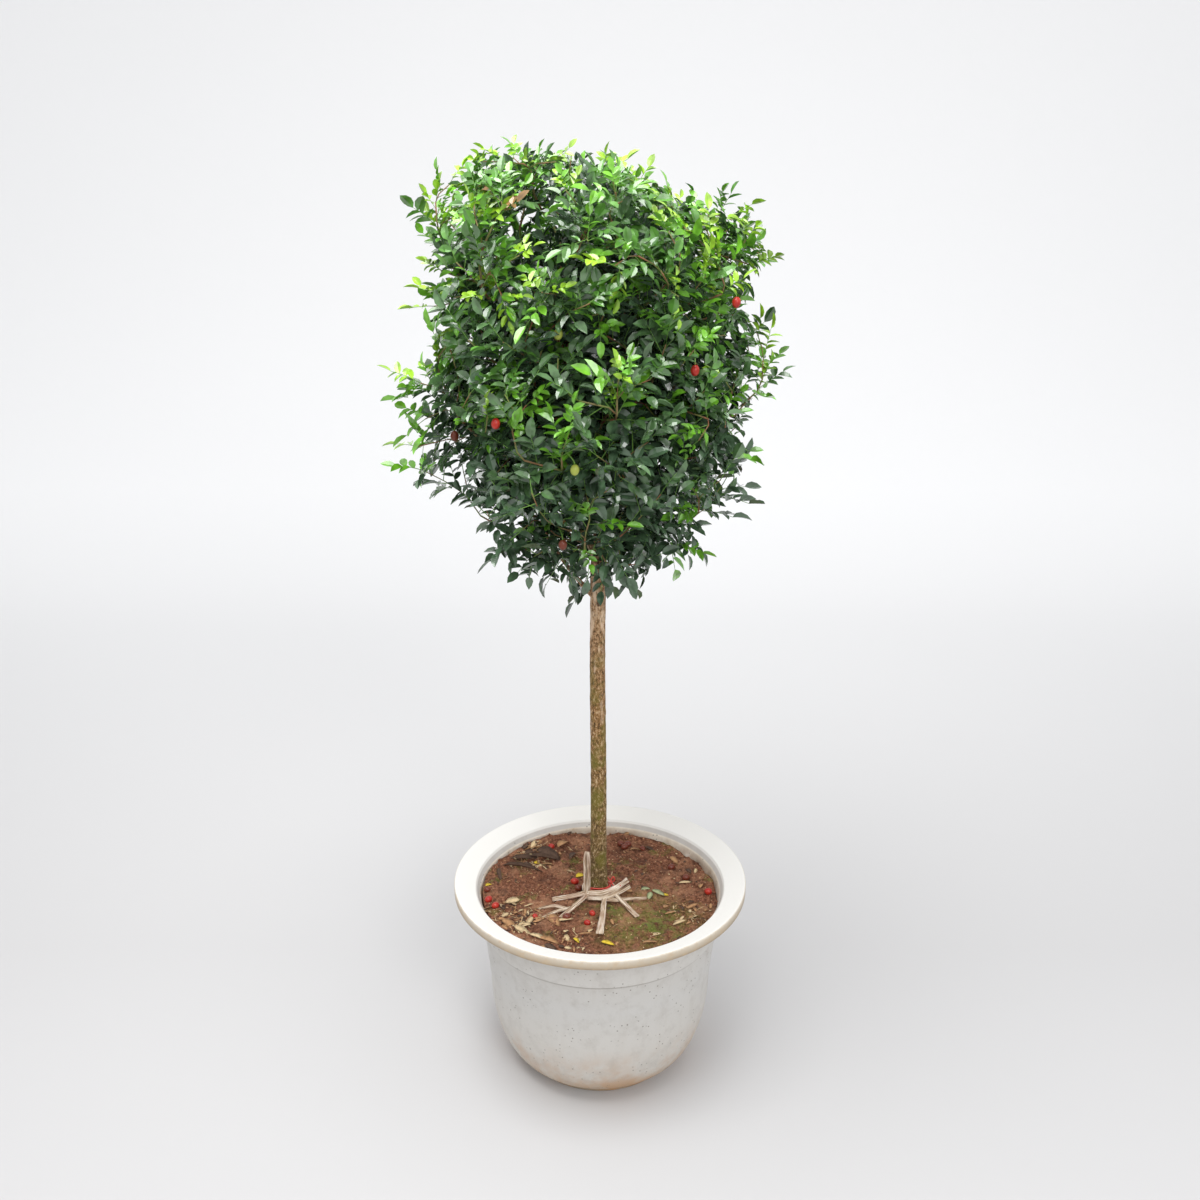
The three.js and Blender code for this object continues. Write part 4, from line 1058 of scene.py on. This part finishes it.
# ---------------------------------------------------------------- twigs
# Each bough breaks up into thin twigs by a seeded rule: every tip in turn, nearest first, joins the
# twig that gives it the shortest run to the bough. Young twigs are green-brown and a few mm thick.
TIPS_PER_MASS, TIPS_PER_LOW_MASS = 44, 26
# how far tips stay inside the head and apart at first, and the length of a straight piece of twig
TIP_INSET, TIP_SPACING, TWIG_STEP = 34.0, 84.0, 34.0
# a twig's radius at its tip, the power by which it thickens with the tips it carries, its first length
TIP_RADIUS, THICKEN, FIRST_LENGTH = 0.85, 0.42, 26.0
# x, y, z of the tips of the shoots that stand out of the head
LONG_SHOOTS = [
    (-196, -60, 1636), (-150, -80, 1640), (-100, -90, 1634), (-286, -60, 1556), (-322, -80, 1286),
    (-330, -40, 1150), (236, -60, 1538), (276, -40, 1450), (290, -70, 1262), (238, -50, 1132),
    (-236, -40, 1040), (138, -60, 968), (-84, -30, 960), (-45, -100, 1638), (42, -90, 1612),
    (60, 290, 1400), (-120, 280, 1230), (190, 230, 1260), (-210, 210, 1500), (40, -290, 1330),
    (-60, -285, 1210), (-282, -40, 1430), (-284, -60, 1500), (-252, -100, 1380), (-318, -60, 1206),
    (-292, -70, 1320), (-262, -40, 1590), (262, -60, 1500), (296, -60, 1330),
]
# how far the leaves of such a shoot reach past its twig
SHOOT_LEAVES = 44.0


def head_radius(z, azimuth):
    """Radius of the head at a height and azimuth, round its own axis, for numbers or arrays."""
    s = np.clip((z - HEAD_WIDEST) / (HEAD_TOP - HEAD_WIDEST), 0, 1)
    lean = z + HEAD_SLOPE * HEAD_RADIUS * np.cos(azimuth) * s * s * (3 - 2 * s)
    upper = lean > HEAD_WIDEST
    high = (lean - HEAD_WIDEST) / (HEAD_TOP - HEAD_WIDEST)
    low = (HEAD_WIDEST - lean) / (HEAD_WIDEST - HEAD_BOTTOM)
    t = np.clip(np.where(upper, high, low), 0, 1)
    bulk = np.where(upper, (1 - t ** 6) ** 0.5, (1 - t ** 2.4) ** 0.8)
    return HEAD_RADIUS * bulk * (1 + 0.04 * np.sin(3 * azimuth + 1.3) + 0.03 * np.sin(5 * azimuth + z / 70))


def beyond_head(points):
    """How far points stand outside the head's outline, below 0 inside it."""
    points = np.atleast_2d(points)
    x, y, z = points[:, 0] - HEAD_X, points[:, 1], points[:, 2]
    return np.hypot(x, y) - head_radius(z, np.arctan2(y, x))


limb_starts = np.vstack([line[:-1] for line, _ in limbs.values()])
limb_ends = np.vstack([line[1:] for line, _ in limbs.values()])
limb_girths = np.concatenate([radii[:-1] for _, radii in limbs.values()])


def off_limbs(points):
    """Distance from each point to the nearest limb's skin."""
    points = np.atleast_2d(points)
    along = limb_ends - limb_starts
    t = ((points[:, None, :] - limb_starts) * along).sum(axis=2) / (along ** 2).sum(axis=1)
    nearest = limb_starts + np.clip(t, 0, 1)[..., None] * along
    return (np.linalg.norm(points[:, None, :] - nearest, axis=2) - limb_girths).min(axis=1)


def edge_of(name, direction):
    """How far a mass's space or the head reaches from the mass's centre, and whether that side is open."""
    nearest, step = 24, 5.0
    way = centres[name] + np.arange(nearest, 262, step)[:, None] * direction
    walled = inside_space(way, name) < 2
    out = beyond_head(way) > 0
    stop = np.argmax(np.append(walled | out, True))
    open_side = stop >= len(way) or not walled[min(stop, len(way) - 1)]
    return nearest + step * stop, open_side


def random_direction(random):
    """A direction with no preferred side."""
    z = 2 * random() - 1
    a = 2 * math.pi * random()
    return np.array((math.sqrt(1 - z * z) * math.cos(a), math.sqrt(1 - z * z) * math.sin(a), z))


def twig_tips(name, random):
    """Points for twig tips, spread evenly round the mass, as (point, long shoot or not)."""
    tips = []
    for point in LONG_SHOOTS:
        point = np.array(point, float)
        point = point - SHOOT_LEAVES * unit(point - centres[name])
        if inside_space(point, name)[0] > 4:
            tips.append((point, True))
    spacing = TIP_SPACING
    wanted = TIPS_PER_LOW_MASS if name.startswith("low") else TIPS_PER_MASS
    while len(tips) < wanted:
        direction = random_direction(random)
        reach, open_side = edge_of(name, direction)
        far = (reach - (TIP_INSET if open_side else 12)) * (1 - 0.4 * random() * random())
        point = centres[name] + direction * far
        free = all(np.linalg.norm(point - other) > spacing for other, _ in tips)
        if (open_side or random() < 0.4) and free and off_limbs(point)[0] > 8:
            tips.append((point, False))
        spacing *= 0.997
    return tips


def grow_twigs(name, seed):
    """Twigs of one mass: a list of (points, radii, heading at the tip, long shoot or not)."""
    random = Seeded(seed)
    line, _ = limbs[name if name in limbs else "leader"]
    heading = unit(line[-1] - line[-2])
    base = line[-1] + 0.3 * heading
    at = [base, base + FIRST_LENGTH * heading]
    run, facing, down = [0.0, FIRST_LENGTH], [heading, heading], [None, 0]
    branches = [([0, 1], False)]
    tips = sorted(twig_tips(name, random), key=lambda tip: np.linalg.norm(tip[0] - base))
    for tip, long_shoot in tips:
        way = tip - np.array(at)
        length = np.linalg.norm(way, axis=1)
        turn = 1 - (way * np.array(facing)).sum(axis=1) / np.maximum(length, 1e-6)
        # It is best to join a twig that is near, points that way and isn't far from the bough itself.
        cost = length * (1 + 0.35 * turn) + 0.32 * np.array(run)
        cost[0] = np.inf
        for i, bow in [(int(i), bow) for i in np.argsort(cost)[:12] for bow in (0.3, 0.08)]:
            if length[i] < 14:
                continue
            bend = at[i] + facing[i] * bow * length[i]
            steps = max(2, round(length[i] / TWIG_STEP))
            t = np.linspace(0, 1, steps + 1)[:, None]
            path = bent(at[i], bend, tip, t)
            if (inside_space(path[1:], name) < 2).any() or (off_limbs(path[1:]) < 2).any():
                continue
            nodes = [i]
            for a, b in zip(path, path[1:]):
                at.append(b)
                run.append(run[nodes[-1]] + np.linalg.norm(b - a))
                facing.append(unit(b - a))
                down.append(nodes[-1])
                nodes.append(len(at) - 1)
            branches.append((nodes, long_shoot))
            break
    load = np.zeros(len(at))
    for nodes, _ in branches[1:]:
        i = nodes[-1]
        while i is not None:
            load[i] += 1
            i = down[i]
    girth = TIP_RADIUS * np.maximum(load, 1) ** THICKEN
    made = []
    for number, (nodes, long_shoot) in enumerate(branches):
        radii = [girth[nodes[1]] if number and k == 0 else girth[i] for k, i in enumerate(nodes)]
        made.append((np.array([at[i] for i in nodes]), np.array(radii), facing[nodes[-1]], long_shoot))
    return made


masses = {name: grow_twigs(name, 4211 + 97 * number) for number, name in enumerate(centres)}

# Young jasmine wood: smooth and matt, brown with a green cast that comes and goes every 25 mm.
twig_finish, tree, shader = new_finish("young jasmine wood", "#7A6643", 0.7, 1.45)
place = add(tree, "ShaderNodeTexCoord").outputs["Object"]
cast = add(tree, "ShaderNodeTexNoise", {"Scale": 40.0, "Detail": 3.0}, {"Vector": place})
wood_colours = [(0.38, "#8A5A3C"), (0.52, "#80704A"), (0.64, "#76853F")]
wood = add(tree, "ShaderNodeValToRGB", {"stops": wood_colours}, {0: cast})
tree.links.new(wood.outputs[0], shader.inputs["Base Color"])

twig_tubes = [tube(line, radii, 5) for rows in masses.values() for line, radii, _, _ in rows]
twig_points, twig_faces = joined(twig_tubes)
twigs = new_piece("twigs", twig_points, twig_faces, twig_finish)
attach(twigs, "root")

# ---------------------------------------------------------------- fruit
# Jasmine berries, scarlet when ripe: each hangs from a short stalk on the outside of the head, where
# the leaves leave room for it.
# x, y, z of where a fruit would hang if a twig were there, and its ripeness
HANGING_FRUITS = [
    (-150, -222, 1238, "ripe"),
    (137, -220, 1296, "ripe"),
    (-234, -110, 1196, "dry"),
    (204, -140, 1402, "ripe"),
    (-48, -222, 1048, "dry"),
    (-66, -250, 1360, "unripe"),
    (-36, -250, 1176, "unripe"),
    (96, 226, 1300, "ripe"),
    (-130, 216, 1400, "ripe"),
    (200, 110, 1250, "dry"),
    (-20, 252, 1210, "ripe"),
]
# how far a fruit hangs below its twig, and the most that it swings aside from it
FRUIT_DROP, STALK_REACH = 19.0, 24.0
FRUIT_AXIS = unit(np.array((0.10, 0.06, 1.0)))
twig_ends = np.vstack([line for rows in masses.values() for line, _, _, _ in rows])
hanging = {"ripe": [], "dry": [], "unripe": []}
fruit_spots, fruit_stalks = [], []
for x, y, z, ripeness in HANGING_FRUITS:
    wanted = np.array((x, y, z + FRUIT_DROP))
    held_by = twig_ends[np.argmin(np.linalg.norm((twig_ends - wanted) * (1, 0.4, 1), axis=1))]
    swing = wanted - held_by
    spot = held_by + swing * min(1.0, STALK_REACH / np.linalg.norm(swing)) - np.array((0, 0, FRUIT_DROP))
    fruit_spots.append(spot)
    hanging[ripeness].append(ellipsoid(spot, FRUIT_AXIS, FRUIT_RADIUS, FRUIT_LENGTH, 9, 14))
    above = spot + np.array((0, 0, FRUIT_LENGTH * 0.48))
    stalk_line = bent(above, above + np.array((0, 0, 7.0)), held_by, np.linspace(0, 1, 7)[:, None])
    fruit_stalks.append(tube(stalk_line, [0.8] * 7, 5))
fruit_spots = np.array(fruit_spots)
for ripeness, rows in hanging.items():
    points, faces = joined(rows)
    berries = new_piece("fruit_" + ripeness, points, faces, fruit_finishes[ripeness])
    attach(berries, "root")

# ---------------------------------------------------------------- leaves
# Compound leaves stand round each twig by the golden angle: a thin stalk with four to eight glossy
# leaflets set left and right in turn, each a broad pointed oval folded a little along its midrib. New
# growth at the top and at the tips is yellow-green; the other leaves get lighter finishes high up and
# darker, bluer ones further in and lower down, as painted light and shade.
LEAFLET_LENGTH, LEAFLET_WIDTH = 27.0, 14.2
LEAF_SPACING, LEAVES_PER_TWIG, GOLDEN_ANGLE = 9.2, 14, math.radians(137.5)
# how far a leaf of size 1 reaches outward and upward from its twig, and the furthest to the front or back
REACH_OUT, REACH_UP, REACH_BACK = 80.0, 86.0, 306.0
# how far the middle of a leaf stays off a fruit sideways, behind and in height
FRUIT_ROOM = (26, 12, 24)
LEAFLETS_PER_PIECE = 5000

# finish: colour, roughness. Mid, deep and dark, and young away from new growth, are lighter and darker copies
# of one leaf, dealt out as painted light and shade.
LEAF_FINISHES = {
    "new": ("#92BE2E", 0.36),
    "young": ("#69A62A", 0.34),
    "mid": ("#528432", 0.30),
    "deep": ("#4D6D42", 0.27),
    "dark": ("#476045", 0.25),
    "old": ("#8C6A3A", 0.55),
}
# fold and droop of the four shapes of leaflet
LEAFLET_BENDS = ((0.22, 0.10), (0.34, 0.22), (0.42, 0.05), (0.16, 0.30))
leaflet_blades = [blade(fold, droop) for fold, droop in LEAFLET_BENDS]
leaflets = {name: [] for name in LEAF_FINISHES}
stalks = []


def hang_leaf(root, ahead, out, size, finish, random):
    """One compound leaf: its stalk, with leaflets in turn to the left and the right and one at the end."""
    count = 4 + int(random() * 4.4)
    length = (12 + 7.0 * count) * size
    t = np.linspace(0, 1, 5)[:, None]
    sag = np.array((0, 0, -1.0)) * (0.02 + 0.20 * random()) * length
    line = root + ahead * length * t + sag * t ** 2
    stalks.append(tube(line, np.linspace(0.8, 0.4, 5) * size, 3))
    face = unit(out * (0.15 + 0.75 * random()) + np.array((random() - 0.5, random() - 0.5, 1.0)))
    side = unit(np.cross(face, ahead))
    for k in range(count):
        end = k == count - 1
        share = 1.0 if end else 0.28 + 0.62 * (k + 0.3 * random()) / (count - 1)
        foot = root + ahead * length * share + sag * share ** 2
        hand = 1 if k % 2 else -1
        spread = 0.3 * (random() - 0.5) if end else hand * (0.75 + 0.45 * random())
        along = ahead * math.cos(spread) + side * math.sin(spread)
        along = unit(along + np.array((0, 0, 0.3 * (random() - 0.6))))
        normal = face + 0.75 * np.array((random() - 0.5, random() - 0.5, random() - 0.5)) + 0.2 * hand * side
        normal = unit(normal - along * normal.dot(along))
        grown = size * ((1.05 if end else 0.74 + 0.24 * share) + 0.2 * (random() - 0.5))
        leaflets[finish].append((foot, along, normal, grown, int(random() * 4)))


def up_head(z):
    """How far up the head a height is, from 0 at its bottom to 1 at its top."""
    return (z - HEAD_BOTTOM) / (HEAD_TOP - HEAD_BOTTOM)


def finish_of(point, rank, flush, random):
    """Which finish a compound leaf has, from its place in the head and its rank on the twig: new growth by
    its rank, and the others by painted light and shade, lighter high up and darker deep in the head.
    """
    depth = max(-beyond_head(point)[0], 0)
    # Painted light and shade: higher leaves get lighter finishes, and leaves deeper in the head or further
    # from the twig's tip get darker ones.
    shade = up_head(point[2]) - 0.0036 * depth - 0.035 * rank + 0.30 * (random() - 0.5)
    if random() < 0.004:
        return "old"
    if flush and rank < 4:
        return "new" if rank < 2 and shade > 0.45 else "young"
    # Lit and shaded copies of one leaf, as painted light and shade.
    if shade > 0.64:
        return "young"
    if shade > 0.42:
        return "mid"
    return "deep" if shade > 0.13 else "dark"


def hides_fruit(root, ahead):
    """Whether the middle of a leaf would hang before a fruit."""
    off = fruit_spots - (root + ahead * REACH_OUT / 2)
    beside = (np.abs(off[:, 0]) < FRUIT_ROOM[0]) & (np.abs(off[:, 2]) < FRUIT_ROOM[2])
    before = np.sign(fruit_spots[:, 1]) * off[:, 1] < FRUIT_ROOM[1]
    same_side = root[1] * fruit_spots[:, 1] > 0
    return (beside & before & same_side).any()


for number, (name, rows) in enumerate(masses.items()):
    random = Seeded(90001 + 131 * number)
    for line, _, heading, long_shoot in rows[1:]:
        run = run_of(line)
        start = 2 * math.pi * random()
        tip_height = up_head(line[-1][2])
        flush = random() < 0.12 + 0.70 * max(0.0, tip_height - 0.35) or (long_shoot and tip_height > 0.3)
        for k in range(LEAVES_PER_TWIG + (3 if long_shoot else 0)):
            back = 1.0 + k * LEAF_SPACING
            if back > run[-1] * 0.95:
                break
            root = np.array([np.interp(run[-1] - back, run, line[:, axis]) for axis in range(3)])
            spread = 0.35 if k == 0 else math.radians(40 + 34 * random())
            side = unit(np.cross((0.1, 0.05, 1.0) if abs(heading[2]) < 0.9 else (1.0, 0, 0), heading))
            across = np.cross(heading, side)
            turn = start + k * GOLDEN_ANGLE
            around = side * math.cos(turn) + across * math.sin(turn)
            # Leaves turn up to the light near the top, and are larger and fewer low down.
            lift = 0.02 + 0.55 * held((root[2] - 1050) / 500)
            ahead = unit(heading * math.cos(spread) + around * math.sin(spread) + np.array((0, 0, lift)))
            size = (0.56 if flush and k < 3 else 0.78) + 0.28 * random()
            size *= 1.32 - 0.40 * held(up_head(root[2]))
            sparse = 0.55 * held((1150 - root[2]) / 130)
            before_stem = abs(root[0]) < 45 and root[1] < 10 and root[2] < 1070
            if random() < (0.4 if before_stem else sparse):
                continue
            # A leaf that would stand out of the head turns in and is smaller; one that is still too high,
            # too far back, in a limb or before a fruit is left out.
            if not long_shoot and beyond_head(root + ahead * REACH_OUT * size)[0] > 8:
                ahead = unit(ahead + np.array((HEAD_X - root[0], -root[1], 0)) / 240)
                size *= 0.85
            highest = HEAD_PEAK - (3 if long_shoot else 18)
            while root[2] + ahead[2] * REACH_UP * size > highest and size > 0.42:
                size *= 0.85
            tip = root + ahead * REACH_UP * size
            if tip[2] > highest or abs(tip[1]) > REACH_BACK or off_limbs(root + ahead * 30)[0] < 3:
                continue
            if hides_fruit(root, ahead):
                continue
            out = unit(np.array((root[0] - HEAD_X, root[1], 0.0)))
            hang_leaf(root, ahead, out, size, finish_of(root, k, flush, random), random)


def leaflet_mesh(rows):
    """All leaflets of one finish as one mesh, in metres."""
    points, faces, start = [], [], 0
    for which, (corners, blade_faces) in enumerate(leaflet_blades):
        chosen = [row for row in rows if row[4] == which]
        if not chosen:
            continue
        foot, along, up = (np.array([row[k] for row in chosen])[:, None] for k in range(3))
        size = np.array([row[3] for row in chosen])[:, None, None]
        side = np.cross(up, along)
        local = (corners * np.array((LEAFLET_LENGTH, LEAFLET_WIDTH, LEAFLET_LENGTH)))[None]
        spots = foot + (local[..., 0:1] * along + local[..., 1:2] * side + local[..., 2:3] * up) * size
        points.append(spots.reshape(-1, 3) * MM)
        for k in range(len(chosen)):
            base = start + k * len(corners)
            faces += [tuple(v + base for v in face) for face in blade_faces]
        start += len(chosen) * len(corners)
    return np.vstack(points), faces


# Jasmine leaf: a waxy skin over soft flesh, so a clear gloss over a deep green. The shade changes every
# 22 mm, about a leaflet's length, so neighbours stand out from each other.
for name, (colour, roughness) in LEAF_FINISHES.items():
    finish, tree, shader = new_finish(name + " jasmine leaf", colour, roughness)
    shader.inputs["Coat Weight"].default_value = 1.0
    shader.inputs["Coat Roughness"].default_value = 0.13
    place = add(tree, "ShaderNodeTexCoord").outputs["Object"]
    tints = add(tree, "ShaderNodeTexNoise", {"Scale": 45.0, "Detail": 2.0}, {"Vector": place})
    settings = {"From Min": 0.35, "From Max": 0.65, "To Min": 0.60, "To Max": 1.46}
    brightness = add(tree, "ShaderNodeMapRange", settings, {"Value": tints})
    tinted = add(tree, "ShaderNodeHueSaturation", {"Color": linear(colour)}, {"Value": brightness})
    tree.links.new(tinted.outputs[0], shader.inputs["Base Color"])
    for first in range(0, len(leaflets[name]), LEAFLETS_PER_PIECE):
        points, faces = leaflet_mesh(leaflets[name][first:first + LEAFLETS_PER_PIECE])
        part = "" if first == 0 else "_%d" % (first // LEAFLETS_PER_PIECE + 1)
        leaves = new_piece("leaves_" + name + part, points, faces, finish, smooth=False)
        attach(leaves, "root")
        if name == "mid" and first == 0:
            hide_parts(*["foliage_" + mass for mass in centres])

stalk_finish, _, _ = new_finish("green leaf stalk", "#6E9A42", 0.5, 1.45)
stalk_points, stalk_faces = joined(stalks + fruit_stalks)
stalk_piece = new_piece("leaf_stalks", stalk_points, stalk_faces, stalk_finish)
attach(stalk_piece, "root")
